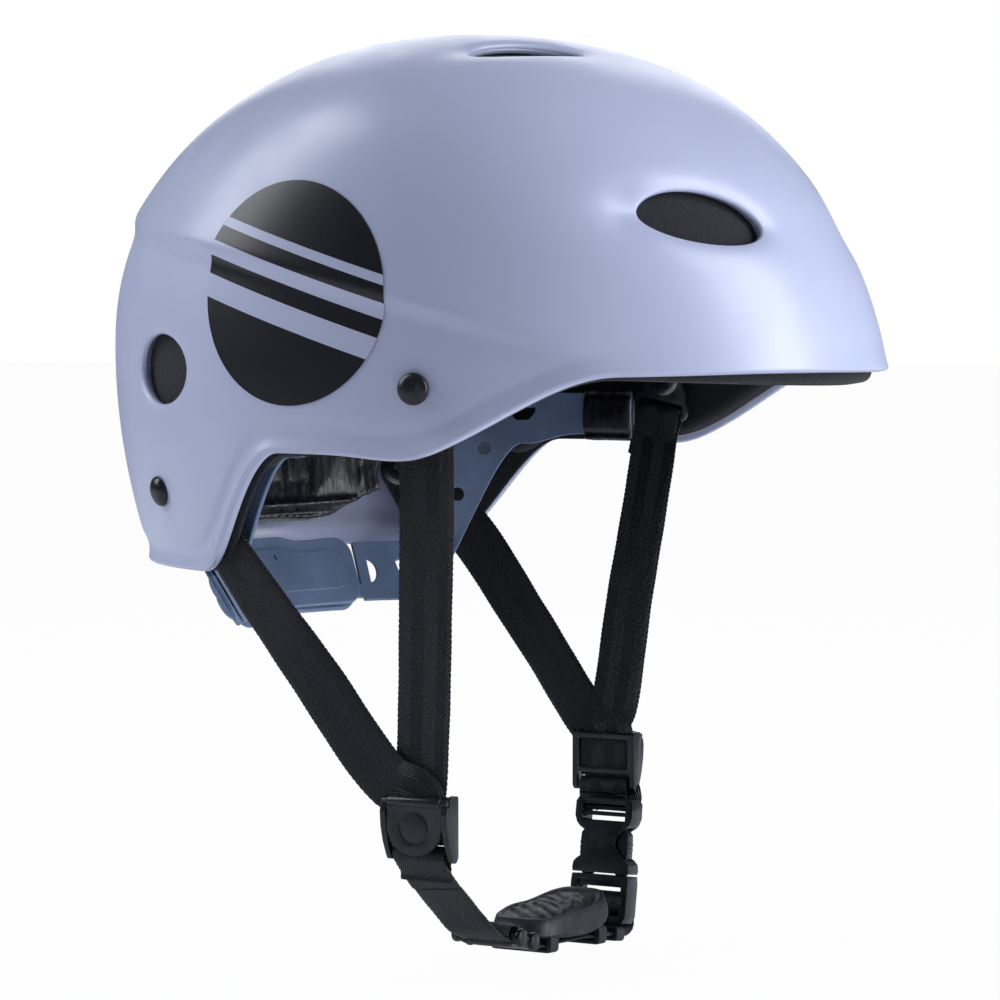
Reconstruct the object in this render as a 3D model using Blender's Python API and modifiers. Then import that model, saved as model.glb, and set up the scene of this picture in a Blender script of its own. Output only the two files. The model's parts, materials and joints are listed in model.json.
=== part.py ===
"""Water-sports helmet: moulded shell, foam liner, four-point harness with a side-release buckle,
and a dial fit cradle at the nape.

Metres, +Z up.  +X is the front of the helmet and +Y the wearer's left.  The origin is the centre of
the crown pad's underside, where the top of the head rests.
"""
import math

import bmesh
import bpy
from mathutils import Matrix, Vector

MM = 0.001
GAP = 0.4 * MM

# Shell: half lengths and half width at the widest level, heights of the apex and of that level
FRONT_REACH = 139 * MM
REAR_REACH = 140 * MM
SIDE_REACH = 111 * MM
APEX_Z = 22.6 * MM
FRONT_WIDEST_Z = -136 * MM
SIDE_WIDEST_Z = -79 * MM
PLAN_EXPONENT = 1.96
FRONT_EXPONENT = 2.2
SIDE_EXPONENT = 2.85
REAR_EXPONENT = 2.06
TUCK = 0.06
TUCK_HEIGHT = 60 * MM
SHELL_WALL = 4 * MM

# Rim: brow level, then the drops to the ear and to the nape and where along X each one happens
BROW_Z = -89 * MM
BROW_SLOPE = 1.5 * MM
BROW_RUN = (139 * MM, 84 * MM)
EAR_DROP = 24 * MM
EAR_RUN = (85 * MM, 20 * MM)
NAPE_DROP = 40.5 * MM
NAPE_RUN = (-27 * MM, -75 * MM)
LOBE_DROP = 1.8 * MM
LOBE_X = 18 * MM
LOBE_WIDTH = 16 * MM
LINER_BELOW_BROW = 1 * MM

# Vents: centre on the left side, long-axis direction, half length and half height
VENTS = {
    "front": (Vector((100, 54, -40)) * MM, Vector((0.56, -0.82, -0.1)), 23 * MM, 8.8 * MM),
    "crown": (Vector((32, 43, 16.4)) * MM, Vector((0.53, -0.85, 0)), 21 * MM, 8.2 * MM),
    "rear": (Vector((-82, 89, -89)) * MM, Vector((-0.7, -0.45, 0)), 15.5 * MM, 11 * MM),
}
SIDES = ((-1, "right"), (1, "left"))

LINER_RETURN = (-34 * MM, -58 * MM)
LINER_GAP = 1.6 * MM
LINER_WALL = 9.5 * MM
LINER_INSIDE = SHELL_WALL + LINER_GAP + LINER_WALL

REAR_PAD_SPAN = 40
REAR_PAD_LEVELS = (-151 * MM, -94 * MM)
REAR_PAD_RISE = 12 * MM
REAR_PAD_THICK = 6 * MM

# Harness
WEBBING = 18 * MM
WEB_SLOT = 18.9 * MM
WEB_THICK = 1.2 * MM
HANGER_STANDOFF = 4.8 * MM
HANGER_BAR = 12.2 * MM
FRONT_ANCHOR = (24 * MM, -94 * MM)
REAR_ANCHOR = (-84 * MM, -129 * MM)
FRONT_HANGER_LEAN = math.radians(-11)
REAR_HANGER_LEAN = math.radians(50)
LOOP_REACH = 2.5 * MM
REAR_STRAP_BEND = Vector((-56, 83.5, -150)) * MM
RIGHT_DIVIDER = Vector((13, -79, -235)) * MM
LEFT_DIVIDER = Vector((16, 50, -228.5)) * MM
BUCKLE_CENTRE = Vector((20.5, 42, -263)) * MM

# Strap divider, in its own frame; the two straps lie one over the other between its cheeks
INNER_LAYER = 2.1 * MM
OUTER_LAYER = 4.2 * MM
DIVIDER_WIDTH = 24 * MM
DIVIDER_HEIGHT = 20 * MM
FLAP_HINGE = Vector((0, 6.2, 8.6)) * MM
DIVIDER_BAR = Vector((0, 1.6, -8.8)) * MM

# Side-release buckle, heights along its own axis
SOCKET_TOP = 22 * MM
SOCKET_MOUTH = -4 * MM
BUCKLE_WIDTH = 22.4 * MM
BUCKLE_THICK = 8.6 * MM
SOCKET_BARS = (14.6 * MM, 18.6 * MM)
PLUG_SLOTS = ((-17.2 * MM, 3.4 * MM), (-9.2 * MM, 2.8 * MM))
PRONG_ROOT = Vector((6.4, 0, -4.3)) * MM

# Fit cradle: the band lies on a surface of revolution about a vertical axis, coned in at the nape
BAND_AXIS_X = -17 * MM
BAND_RADIUS = 86 * MM
BAND_KNEE_Z = -152 * MM
NAPE_TILT = math.radians(30)
BAND_Z = -164 * MM
BAND_HEIGHT = 20 * MM
BAND_THICK = 1.6 * MM
ARM_TOP_Z = -106 * MM
ARM_RISE = (47, 79)
ARM_END = 112
ARM_PIN = 107
TEMPLE_PAD_TURNS = (97, 114)
TEMPLE_PAD_HEIGHT = 20 * MM
ARM_HOLES = ((42, 3.6, 3.0), (48.5, 2.2, 3.4), (63, 2.6, 2.6), (69.5, 2.8, 2.8), (79, 5.0, 3.0))
TONGUE_END = 35
TONGUE_OFFSET = 6.95 * MM
TONGUE_HEIGHT = 4.1 * MM
HOUSING_SPAN = 33
HOUSING_HEIGHT = 23 * MM
DIAL_RADIUS = 13 * MM
KNOB_LOBE = 1.3 * MM
KNOB_LOBES = 6


# ---------------------------------------------------------------- materials and object helpers

def clear_scene():
    for old in list(bpy.data.objects):
        bpy.data.objects.remove(old)


def make_material(name, colour, roughness, metallic=0.0):
    material = bpy.data.materials.new(name)
    material.use_nodes = True
    shader = material.node_tree.nodes["Principled BSDF"]
    shader.inputs["Base Color"].default_value = (*colour, 1)
    shader.inputs["Roughness"].default_value = roughness
    shader.inputs["Metallic"].default_value = metallic
    return material


def make_object(name, mesh, material=None, collection=None):
    obj = bpy.data.objects.new(name, mesh)
    (collection or PARTS).objects.link(obj)
    if material:
        mesh.materials.append(material)
    return obj


def mesh_from(bm, name):
    bmesh.ops.recalc_face_normals(bm, faces=bm.faces)
    mesh = bpy.data.meshes.new(name)
    bm.to_mesh(mesh)
    bm.free()
    return mesh


def smooth(obj, angle=35):
    obj.data.shade_smooth()
    obj.data.set_sharp_from_angle(angle=math.radians(angle))
    return obj


def box_mesh(name, size, centre=(0, 0, 0), rounding=0.0):
    bm = bmesh.new()
    bmesh.ops.create_cube(bm, size=1, matrix=Matrix.Translation(centre) @ Matrix.Diagonal((*size, 1)))
    if rounding:
        bmesh.ops.bevel(bm, geom=bm.edges[:], offset=rounding, segments=2, affect="EDGES", profile=0.5)
    return mesh_from(bm, name)


def rod_mesh(name, radius, length, segments=20):
    bm = bmesh.new()
    bmesh.ops.create_cone(bm, segments=segments, radius1=radius, radius2=radius, depth=length, cap_ends=True)
    return mesh_from(bm, name)


def loft_mesh(name, rings, caps=True):
    """Skin a list of closed rings that all have the same number of points."""
    bm = bmesh.new()
    rows = [[bm.verts.new(point) for point in ring] for ring in rings]
    count = len(rings[0])
    for lower, upper in zip(rows, rows[1:]):
        for i in range(count):
            j = (i + 1) % count
            bm.faces.new((lower[i], lower[j], upper[j], upper[i]))
    if caps:
        bm.faces.new(rows[0][::-1])
        bm.faces.new(rows[-1])
    return mesh_from(bm, name)


def prism_mesh(name, outline, low, high):
    return loft_mesh(name, [[(x, y, z) for x, y in outline] for z in (low, high)])


def turned(name, profile, material, matrix, steps=20):
    """Turn a closed-at-the-axis profile of (radius, height), top to bottom, about local Z."""
    mesh = bpy.data.meshes.new(name)
    points = [(radius, 0, height) for radius, height in profile]
    mesh.from_pydata(points, [(i, i + 1) for i in range(len(points) - 1)], [])
    obj = make_object(name, mesh, material)
    obj.matrix_world = matrix
    screw = obj.modifiers.new("turn", "SCREW")
    screw.steps = steps
    screw.render_steps = steps
    screw.use_merge_vertices = True
    screw.merge_threshold = 0.00001
    return obj


def cutter(name, mesh, matrix=None):
    obj = make_object(name, mesh, None, CUTTERS)
    if matrix:
        obj.matrix_world = matrix
    obj.hide_render = True
    obj.display_type = "WIRE"
    return obj


def carve(obj, tool, operation="DIFFERENCE"):
    boolean = obj.modifiers.new(tool.name, "BOOLEAN")
    boolean.operation = operation
    boolean.object = tool
    boolean.solver = "EXACT"
    return obj


def smoothstep(value):
    value = min(1.0, max(0.0, value))
    return value * value * (3 - 2 * value)


def facing(normal, hint, at):
    """Matrix at a point: local Z along the normal, local X along the hint as far as it can be."""
    z = Vector(normal).normalized()
    x = Vector(hint)
    x = (x - x.dot(z) * z).normalized()
    y = z.cross(x)
    return Matrix.Translation(at) @ Matrix((x, y, z)).transposed().to_4x4()


# ---------------------------------------------------------------- the shell's outer surface

def plan_reach(azimuth):
    along = FRONT_REACH if math.cos(azimuth) > 0 else REAR_REACH
    end_term = abs(math.cos(azimuth) / along) ** PLAN_EXPONENT
    side_term = abs(math.sin(azimuth) / SIDE_REACH) ** PLAN_EXPONENT
    return (end_term + side_term) ** (-1 / PLAN_EXPONENT)


def section(azimuth):
    """Reach, widest level and roundness exponent of the vertical section at an azimuth."""
    forward = math.cos(azimuth)
    end = (FRONT_WIDEST_Z, FRONT_EXPONENT) if forward > 0 else (SIDE_WIDEST_Z, REAR_EXPONENT)
    blend = forward * forward
    level = end[0] * blend + SIDE_WIDEST_Z * (1 - blend)
    exponent = end[1] * blend + SIDE_EXPONENT * (1 - blend)
    return plan_reach(azimuth), level, exponent


def shell_point(azimuth, z):
    reach, level, exponent = section(azimuth)
    if z >= level:
        share = (z - level) / (APEX_Z - level)
        reach *= max(0.0, 1 - share ** exponent) ** (1 / exponent)
    else:
        reach *= 1 - TUCK * ((level - z) / TUCK_HEIGHT) ** 2
    return Vector((reach * math.cos(azimuth), reach * math.sin(azimuth), z))


def shell_normal(azimuth, z):
    step = 0.5 * MM
    turn = 0.005
    around = shell_point(azimuth + turn, z) - shell_point(azimuth - turn, z)
    upward = shell_point(azimuth, z + step) - shell_point(azimuth, z - step)
    return around.cross(upward).normalized()


def at_depth(azimuth, z, depth):
    return shell_point(azimuth, z) - shell_normal(azimuth, z) * depth


def azimuth_at(x, z, side):
    """Azimuth on one side (-1 right, +1 left) where the surface at height z has the given x."""
    low, high = 0.0, math.pi
    for _ in range(40):
        middle = (low + high) / 2
        if shell_point(middle, z).x > x:
            low = middle
        else:
            high = middle
    return side * low


def run_share(x, run):
    """How far x has come along a run from its front end (0) to its rear end (1), eased."""
    front, rear = run
    return smoothstep((front - x) / (front - rear))


def shell_rim(x):
    lobe = LOBE_DROP * math.exp(-((x - LOBE_X) / LOBE_WIDTH) ** 2)
    slope = BROW_SLOPE * run_share(x, BROW_RUN)
    ear = EAR_DROP * run_share(x, EAR_RUN)
    nape = NAPE_DROP * run_share(x, NAPE_RUN)
    return BROW_Z - slope - ear - nape - lobe


def liner_rim(x):
    """The liner follows the shell's rim round the ear and then steps back up over the nape."""
    behind_ear = NAPE_DROP * run_share(x, NAPE_RUN) * (1 - run_share(x, LINER_RETURN))
    return BROW_Z - BROW_SLOPE - LINER_BELOW_BROW - EAR_DROP * run_share(x, EAR_RUN) - behind_ear


def dome_mesh(name, rim, inset, columns=52, rows=13):
    """Open dome from the apex to a rim height given as a function of x, moved in by the inset."""
    bm = bmesh.new()
    apex = bm.verts.new((0, 0, APEX_Z))
    rings = []
    for row in range(1, rows + 1):
        ring = []
        for column in range(columns):
            azimuth = 2 * math.pi * column / columns
            reach, level, exponent = section(azimuth)
            bottom = rim(reach * math.cos(azimuth))
            height = APEX_Z - level
            if bottom > level:
                end = math.acos(((bottom - level) / height) ** (exponent / 2))
            else:
                end = math.pi / 2 + (level - bottom) / (75 * MM)
            sweep = end * row / rows
            if sweep < math.pi / 2:
                z = level + height * math.cos(sweep) ** (2 / exponent)
            else:
                z = level - (sweep - math.pi / 2) * 75 * MM
            ring.append(bm.verts.new(shell_point(azimuth, z)))
        rings.append(ring)
    for i in range(columns):
        j = (i + 1) % columns
        bm.faces.new((apex, rings[0][i], rings[0][j]))
        for upper, lower in zip(rings, rings[1:]):
            bm.faces.new((upper[i], lower[i], lower[j], upper[j]))
    bm.normal_update()
    if inset:
        moves = [(vert, vert.co - vert.normal * inset) for vert in bm.verts]
        for vert, place in moves:
            vert.co = place
    mesh = bpy.data.meshes.new(name)
    bm.to_mesh(mesh)
    bm.free()
    return mesh


def panel(name, centre, half_span, low, high, inset, thickness, material, columns=10, rows=4):
    """Closed pad that follows the shell's inside between two azimuths and two heights (degrees)."""
    bm = bmesh.new()
    grid = []
    for row in range(rows + 1):
        z = low + (high - low) * row / rows
        line = []
        for column in range(columns + 1):
            azimuth = math.radians(centre + half_span * (2 * column / columns - 1))
            line.append(bm.verts.new(at_depth(azimuth, z, inset)))
        grid.append(line)
    for lower, upper in zip(grid, grid[1:]):
        for i in range(columns):
            bm.faces.new((lower[i], lower[i + 1], upper[i + 1], upper[i]))
    bm.normal_update()
    mesh = bpy.data.meshes.new(name)
    bm.to_mesh(mesh)
    bm.free()
    obj = make_object(name, mesh, material)
    thicken(obj, thickness)
    return smooth(obj)


def thicken(obj, thickness, offset=-1):
    solidify = obj.modifiers.new("wall", "SOLIDIFY")
    solidify.thickness = thickness
    solidify.offset = offset
    return obj


# ---------------------------------------------------------------- shell, liner and pads

def vent_cutters():
    """An elliptical tool for every vent, square to the shell."""
    tools = []
    for name, (centre, hint, half_length, half_height) in VENTS.items():
        for side, word in SIDES:
            azimuth = math.atan2(centre.y * side, centre.x)
            normal = shell_normal(azimuth, centre.z)
            long_axis = Vector((hint.x, hint.y * side, hint.z))
            mesh = rod_mesh("vent", 1, 1, 24)
            mesh.transform(Matrix.Diagonal((half_length, half_height, 44 * MM, 1)))
            matrix = facing(normal, long_axis, shell_point(azimuth, centre.z))
            tools.append(cutter(f"vent_{name}_{word}", mesh, matrix))
    return tools


def anchor_matrices():
    """Matrix of each strap anchor: on the shell's outside, local Z outward, local Y up its hanger."""
    places = {}
    ends = (("front", FRONT_ANCHOR, FRONT_HANGER_LEAN), ("rear", REAR_ANCHOR, REAR_HANGER_LEAN))
    for side, word in SIDES:
        for end, (x, z), lean in ends:
            azimuth = azimuth_at(x, z, side)
            normal = shell_normal(azimuth, z)
            level = facing(normal, Vector((0, 0, 1)).cross(normal), shell_point(azimuth, z))
            places[f"{end}_{word}"] = level @ Matrix.Rotation(-side * lean, 4, "Z")
    return places


def build_shell_and_liner(white, foam):
    shell = make_object("outer_shell", dome_mesh("outer_shell", shell_rim, 0), white)
    thicken(shell, SHELL_WALL)
    for tool in vent_cutters():
        carve(shell, tool)
    liner = make_object("foam_liner", dome_mesh("foam_liner", liner_rim, SHELL_WALL + LINER_GAP), foam)
    thicken(liner, LINER_WALL)
    for name, matrix in anchor_matrices().items():
        tool = cutter(f"anchor_hole_{name}", rod_mesh("anchor_hole", 2.8 * MM, 50 * MM, 16), matrix)
        carve(shell, tool)
        if name.startswith("front"):
            carve(liner, tool)
    smooth(shell)
    smooth(liner)


def build_pads(leather):
    dome = [(0, 6.0), (8, 5.7), (16, 4.8), (22, 3.4), (24, 2.0), (24, 0), (0, 0)]
    pad = turned("crown_pad", [(r * MM, z * MM) for r, z in dome], leather, Matrix.Identity(4), 24)
    smooth(pad)
    inset = LINER_INSIDE + 2.5 * MM
    panel("brow_pad", 0, 34, -86 * MM, -56 * MM, inset, 7 * MM, leather)
    panel("side_pad_right", -92, 26, -80 * MM, -42 * MM, inset, 8 * MM, leather)
    panel("side_pad_left", 92, 26, -80 * MM, -42 * MM, inset, 8 * MM, leather)
    build_rear_pad(leather)


def build_rear_pad(leather):
    """Pad behind the head, thinner and shorter towards its ends where the arms pass inside it."""
    inset = LINER_INSIDE + LINER_GAP / 4
    low, high = REAR_PAD_LEVELS
    rings = []
    for turn in spread(-REAR_PAD_SPAN, REAR_PAD_SPAN, 14):
        thin = smoothstep((abs(math.degrees(turn)) - 25) / (REAR_PAD_SPAN - 25))
        thickness = REAR_PAD_THICK * (1 - 0.75 * thin)
        foot = low + REAR_PAD_RISE * thin
        levels = [foot + (high - foot) * i / 4 for i in range(5)]
        outer = [at_depth(math.pi + turn, z, inset) for z in levels]
        inner = [at_depth(math.pi + turn, z, inset + thickness) for z in reversed(levels)]
        rings.append(outer + inner)
    smooth(make_object("rear_pad", loft_mesh("rear_pad", rings), leather))


# ---------------------------------------------------------------- strap anchors

def hanger_depth(name):
    """Depth below the shell's outside of the middle of an anchor's strap hanger."""
    inside = LINER_INSIDE if name.startswith("front") else SHELL_WALL
    return inside + HANGER_STANDOFF


def hanger_outline():
    """Rounded triangle round the eyelet and the strap bar, about the eyelet's centre."""
    corners = ((0, 0, 7, 20, 160), (-8.8, -10.6, 3, 160, 270), (8.8, -10.6, 3, 270, 380))
    points = []
    for x, y, radius, start, end in corners:
        for i in range(7):
            angle = math.radians(start + (end - start) * i / 6)
            points.append(((x + radius * math.cos(angle)) * MM, (y + radius * math.sin(angle)) * MM))
    return points


def build_anchors(black, steel):
    """Domed rivet from outside, and inside it a strap hanger under an eyelet washer."""
    for name, matrix in anchor_matrices().items():
        depth = hanger_depth(name)
        plate = prism_mesh("hanger", hanger_outline(), -depth - 0.5 * MM, -depth + 0.5 * MM)
        hanger = make_object(f"strap_hanger_{name}", plate, steel)
        hanger.matrix_world = matrix
        slot = box_mesh("slot", (WEB_SLOT, 3.0 * MM, 6 * MM), (0, -9.3 * MM, -depth))
        carve(hanger, cutter(f"hanger_slot_{name}", slot, matrix))
        carve(hanger, cutter(f"hanger_eye_{name}", rod_mesh("eye", 2.7 * MM, 60 * MM, 16), matrix))

        washer_out = depth + 0.5 * MM + GAP
        tail = -(washer_out + 1 * MM + GAP)
        profile = [(0, 2.9), (2.2, 2.7), (3.8, 2.0), (4.8, 0.9), (5, 0.3), (2.3, 0.3)]
        profile = [(r * MM, z * MM) for r, z in profile]
        profile += [(2.3 * MM, tail), (3.9 * MM, tail), (3.6 * MM, tail - 1 * MM), (0, tail - 1 * MM)]
        smooth(turned(f"rivet_{name}", profile, black, matrix, 16))
        ring = [(2.6, 0.5), (5.6, 0.5), (5.9, 0), (5.6, -0.5), (2.6, -0.5), (2.6, 0.5)]
        at = matrix @ Matrix.Translation((0, 0, -washer_out - 0.5 * MM))
        smooth(turned(f"eyelet_{name}", [(r * MM, z * MM) for r, z in ring], steel, at, 16))


# ---------------------------------------------------------------- webbing

def ribbon_mesh(name, stations, width=WEBBING, thickness=WEB_THICK):
    """Flat webbing through stations of (centre, broadside direction, face normal)."""
    rings = []
    for centre, across, normal in stations:
        side = Vector(across).normalized() * width / 2
        face = Vector(normal).normalized() * thickness / 2
        centre = Vector(centre)
        low, high = centre - face, centre + face
        rings.append([low - side, low + side, high + side, high - side])
    return loft_mesh(name, rings)


def strap(name, stations, material, hanger):
    """Webbing whose top end is sewn into a loop round its hanger's bar."""
    obj = make_object(name, ribbon_mesh(name, stations), material)
    along_bar = hanger @ Matrix.Rotation(math.pi / 2, 4, "Y")
    carve(obj, cutter(f"{name}_loop", ring_mesh("loop", 1.9 * MM, 3.0 * MM, WEBBING), along_bar), "UNION")
    return obj


def hanger_bar(name, anchors):
    """Matrix of a hanger's strap bar, with its directions along the bar, up and out of the shell."""
    bar = anchors[name] @ Matrix.Translation((0, -HANGER_BAR, -hanger_depth(name)))
    across, up, normal = (Vector(axis) for axis in bar.to_3x3().transposed())
    return bar, across, up, normal


def build_front_strap(side, word, entry, anchors, webbing):
    """Straight down from its hanger, outside the rear strap where both enter the divider."""
    out = Vector((0, side, 0))
    forward = Vector((-side, 0, 0))
    bar, across, up, normal = hanger_bar(f"front_{word}", anchors)
    top = bar.translation - up * LOOP_REACH
    goal = entry + out * OUTER_LAYER
    stations = [
        (top, across, normal),
        (top.lerp(goal, 0.15), across, normal),
        (goal.lerp(top, 0.12), across.lerp(forward, 0.9), out),
        (goal + Vector((0, 0, 8.4 * MM)), forward, out),
        (goal, forward, out),
    ]
    strap(f"front_strap_{word}", stations, webbing, bar)


def build_rear_strap(side, word, entry, anchors, webbing):
    """Out round the fit cradle's arm below the rim, then forward and down to the divider."""
    out = Vector((0, side, 0))
    forward = Vector((-side, 0, 0))
    bar, across, up, normal = hanger_bar(f"rear_{word}", anchors)
    top = bar.translation - up * LOOP_REACH
    goal = entry + out * INNER_LAYER
    bend = Vector((REAR_STRAP_BEND.x, REAR_STRAP_BEND.y * side, REAR_STRAP_BEND.z))
    lean = out.cross((goal - bend).normalized())
    stations = [
        (top, across, normal),
        (top.lerp(bend, 0.5), across, normal),
        (bend, across + lean, normal + out),
        (bend.lerp(goal, 0.4) + out * 3 * MM, lean, out),
        (bend.lerp(goal, 0.8) - out * 4.5 * MM, lean, out),
        (goal + Vector((0, 0, 10 * MM)) - out * 0.6 * MM, forward, out),
        (goal, forward, out),
    ]
    strap(f"rear_strap_{word}", stations, webbing, bar)


def build_upper_straps(webbing):
    anchors = anchor_matrices()
    dividers = {"right": RIGHT_DIVIDER, "left": LEFT_DIVIDER}
    for side, word in SIDES:
        entry = dividers[word] + Vector((0, 0, 3 * MM))
        build_front_strap(side, word, entry, anchors, webbing)
        build_rear_strap(side, word, entry, anchors, webbing)


# ---------------------------------------------------------------- strap dividers

def divider_frame(at, side):
    """Divider's own frame: X fore and aft, Y outward from the head, Z up."""
    outward = Vector((0, side, 0))
    sideways = outward.cross(Vector((0, 0, 1)))
    return Matrix.Translation(at) @ Matrix((sideways, outward, Vector((0, 0, 1)))).transposed().to_4x4()


def build_divider(word, at, side, plastic):
    frame = divider_frame(at, side)
    cheek_x = DIVIDER_WIDTH / 2 - 0.8 * MM
    plate = box_mesh("divider", (DIVIDER_WIDTH, 1.4 * MM, DIVIDER_HEIGHT))
    body = make_object(f"divider_{word}", plate, plastic)
    body.matrix_world = frame
    for turn in (-1, 1):
        cheek = box_mesh("cheek", (1.6 * MM, 8.2 * MM, DIVIDER_HEIGHT), (turn * cheek_x, 3.4 * MM, 0))
        carve(body, cutter(f"divider_{word}_cheek_{turn}", cheek, frame), "UNION")
    bar = rod_mesh("bar", 1.5 * MM, DIVIDER_WIDTH - 0.4 * MM, 16)
    bar_at = frame @ Matrix.Translation(DIVIDER_BAR)
    notch = box_mesh("notch", (DIVIDER_WIDTH - 3.2 * MM, 8 * MM, 8 * MM), (0, 0, -8.4 * MM))
    carve(body, cutter(f"divider_{word}_notch", notch, frame))
    across = Matrix.Rotation(math.pi / 2, 4, "Y")
    carve(body, cutter(f"divider_{word}_bar", bar, bar_at @ across), "UNION")
    hinge_at = frame @ Matrix.Translation(FLAP_HINGE) @ across
    carve(body, cutter(f"divider_{word}_pivot", rod_mesh("pivot", 1.25 * MM, 40 * MM, 14), hinge_at))

    pin = Matrix.Translation(FLAP_HINGE)
    outline = flap_outline()
    flap = prism_mesh("lock_flap", outline, 5.4 * MM, 7.0 * MM)
    flap.transform(Matrix(((1, 0, 0, 0), (0, 0, 1, 0), (0, 1, 0, 0), (0, 0, 0, 1))))
    flap.transform(pin.inverted())
    flap.flip_normals()
    lock = make_object(f"lock_flap_{word}", flap, plastic)
    lock.matrix_world = frame @ pin
    stub = cutter(f"lock_{word}_stub", rod_mesh("stub", 1.0 * MM, DIVIDER_WIDTH - 0.2 * MM, 14), hinge_at)
    carve(lock, stub, "UNION")


def flap_outline():
    """D-shaped plate, straight at the top and round at the bottom, between the two cheeks."""
    half = DIVIDER_WIDTH / 2 - 2.1 * MM
    points = [(half, 9.4 * MM), (-half, 9.4 * MM)]
    for i in range(13):
        angle = math.pi + math.pi * i / 12
        points.append((half * math.cos(angle), 1 * MM + 9.5 * MM * math.sin(angle)))
    return points


# ---------------------------------------------------------------- buckle

def pivot_point():
    """Axis on which the chin strap turns: the bar at the foot of the right divider."""
    return divider_frame(RIGHT_DIVIDER, -1) @ DIVIDER_BAR


def buckle_frame():
    """Z runs up the buckle along the arc that the chin strap swings on, X stays fore and aft."""
    arm = BUCKLE_CENTRE - pivot_point()
    arm.x = 0
    up = Vector((1, 0, 0)).cross(arm).normalized()
    forward = Vector((1, 0, 0))
    return Matrix.Translation(BUCKLE_CENTRE) @ Matrix((forward, up.cross(forward), up)).transposed().to_4x4()


def build_socket(plastic):
    frame = buckle_frame()
    height = SOCKET_TOP - SOCKET_MOUTH
    middle = (SOCKET_TOP + SOCKET_MOUTH) / 2
    body = box_mesh("socket", (BUCKLE_WIDTH, BUCKLE_THICK, height), (0, 0, middle), 1.2 * MM)
    socket = make_object("buckle_socket", body, plastic)
    socket.matrix_world = frame
    cavity = box_mesh("cavity", (18.6 * MM, 6.2 * MM, 18 * MM), (0, 0, SOCKET_MOUTH + 8 * MM))
    window = box_mesh("window", (40 * MM, 4.2 * MM, 9 * MM), (0, 0, 5.5 * MM))
    carve(socket, cutter("socket_cavity", cavity, frame))
    carve(socket, cutter("socket_window", window, frame))
    for index, z in enumerate(SOCKET_BARS):
        slot = box_mesh("slot", (WEB_SLOT, 20 * MM, 2.6 * MM), (0, 0, z))
        carve(socket, cutter(f"socket_slot_{index}", slot, frame))
    return frame


def build_plug(frame, plastic, holder):
    base = box_mesh("plug", (BUCKLE_WIDTH, BUCKLE_THICK, 16.5 * MM), (0, 0, -13.2 * MM), 1.2 * MM)
    base.transform(frame)
    base.transform(holder.inverted())
    plug = make_object("buckle_plug", base, plastic)
    plug.matrix_world = holder
    tongue = box_mesh("tongue", (4 * MM, 2.6 * MM, 20 * MM), (0, 0, 1 * MM))
    carve(plug, cutter("plug_tongue", tongue, frame), "UNION")
    for index, (z, tall) in enumerate(PLUG_SLOTS):
        slot = box_mesh("slot", (WEB_SLOT, 20 * MM, tall), (0, 0, z))
        carve(plug, cutter(f"plug_slot_{index}", slot, frame))


def build_prongs(frame, plastic):
    """Two spring prongs, each with its finger pad outward and its foot on the plug."""
    outline = [(-1.5, 0), (1.5, 0), (1.6, 5), (2.4, 6.4), (2.2, 12.5), (0.4, 16), (-1.2, 16.4), (-1.4, 6)]
    for side, word in ((1, "front"), (-1, "rear")):
        points = [(x * side * MM, z * MM) for x, z in outline]
        mesh = loft_mesh("prong", [[(x, y, z) for x, z in points] for y in (-1.4 * MM, 1.4 * MM)])
        prong = make_object(f"prong_{word}", mesh, plastic)
        prong.matrix_world = frame @ Matrix.Translation((PRONG_ROOT.x * side, 0, PRONG_ROOT.z))


# ---------------------------------------------------------------- chin strap and its fittings

def chin_path():
    """Centre line of the chin webbing, from below the right divider to the buckle plug."""
    pivot = pivot_point()
    frame = buckle_frame()
    return [
        pivot + Vector((0, 1.5, -2.6)) * MM,
        Vector((17, -64, -265)) * MM,
        Vector((20.4, -56, -273)) * MM,
        Vector((20.5, -31, -280.5)) * MM,
        Vector((20.5, -3, -283)) * MM,
        Vector((20.5, 25, -285.5)) * MM,
        frame @ (Vector((0, 3, -25)) * MM),
        frame @ (Vector((0, 8, -22.5)) * MM),
        frame @ (Vector((0, 8, -17.6)) * MM),
        frame @ (Vector((0, 5, -17.2)) * MM),
        frame @ (Vector((0, -2, -17.2)) * MM),
    ]


def chin_stations(path, lift=0.0):
    stations = []
    for i, point in enumerate(path):
        before = path[max(0, i - 1)]
        after = path[min(len(path) - 1, i + 1)]
        along = (after - before).normalized()
        normal = Vector((1, 0, 0)).cross(along).normalized()
        stations.append((point + normal * lift, (1, 0, 0), normal))
    return stations


def build_chin_strap(webbing, holder):
    """Chin webbing with its sewn loop round the right divider's bar."""
    body = ribbon_mesh("chin_strap", chin_stations(chin_path()))
    body.transform(holder.inverted())
    chin = make_object("chin_strap", body, webbing)
    chin.matrix_world = holder
    eye = ring_mesh("chin_loop", 2.0 * MM, 3.3 * MM, WEBBING)
    carve(chin, cutter("chin_loop", eye, across_at(pivot_point())), "UNION")


def fitting(name, mesh, at, along, material):
    """Put a fitting on the chin webbing: local Y along the strap, local Z towards the chin."""
    obj = make_object(name, mesh, material)
    obj.matrix_world = facing(Vector((1, 0, 0)).cross(along), (1, 0, 0), at)
    return obj


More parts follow.
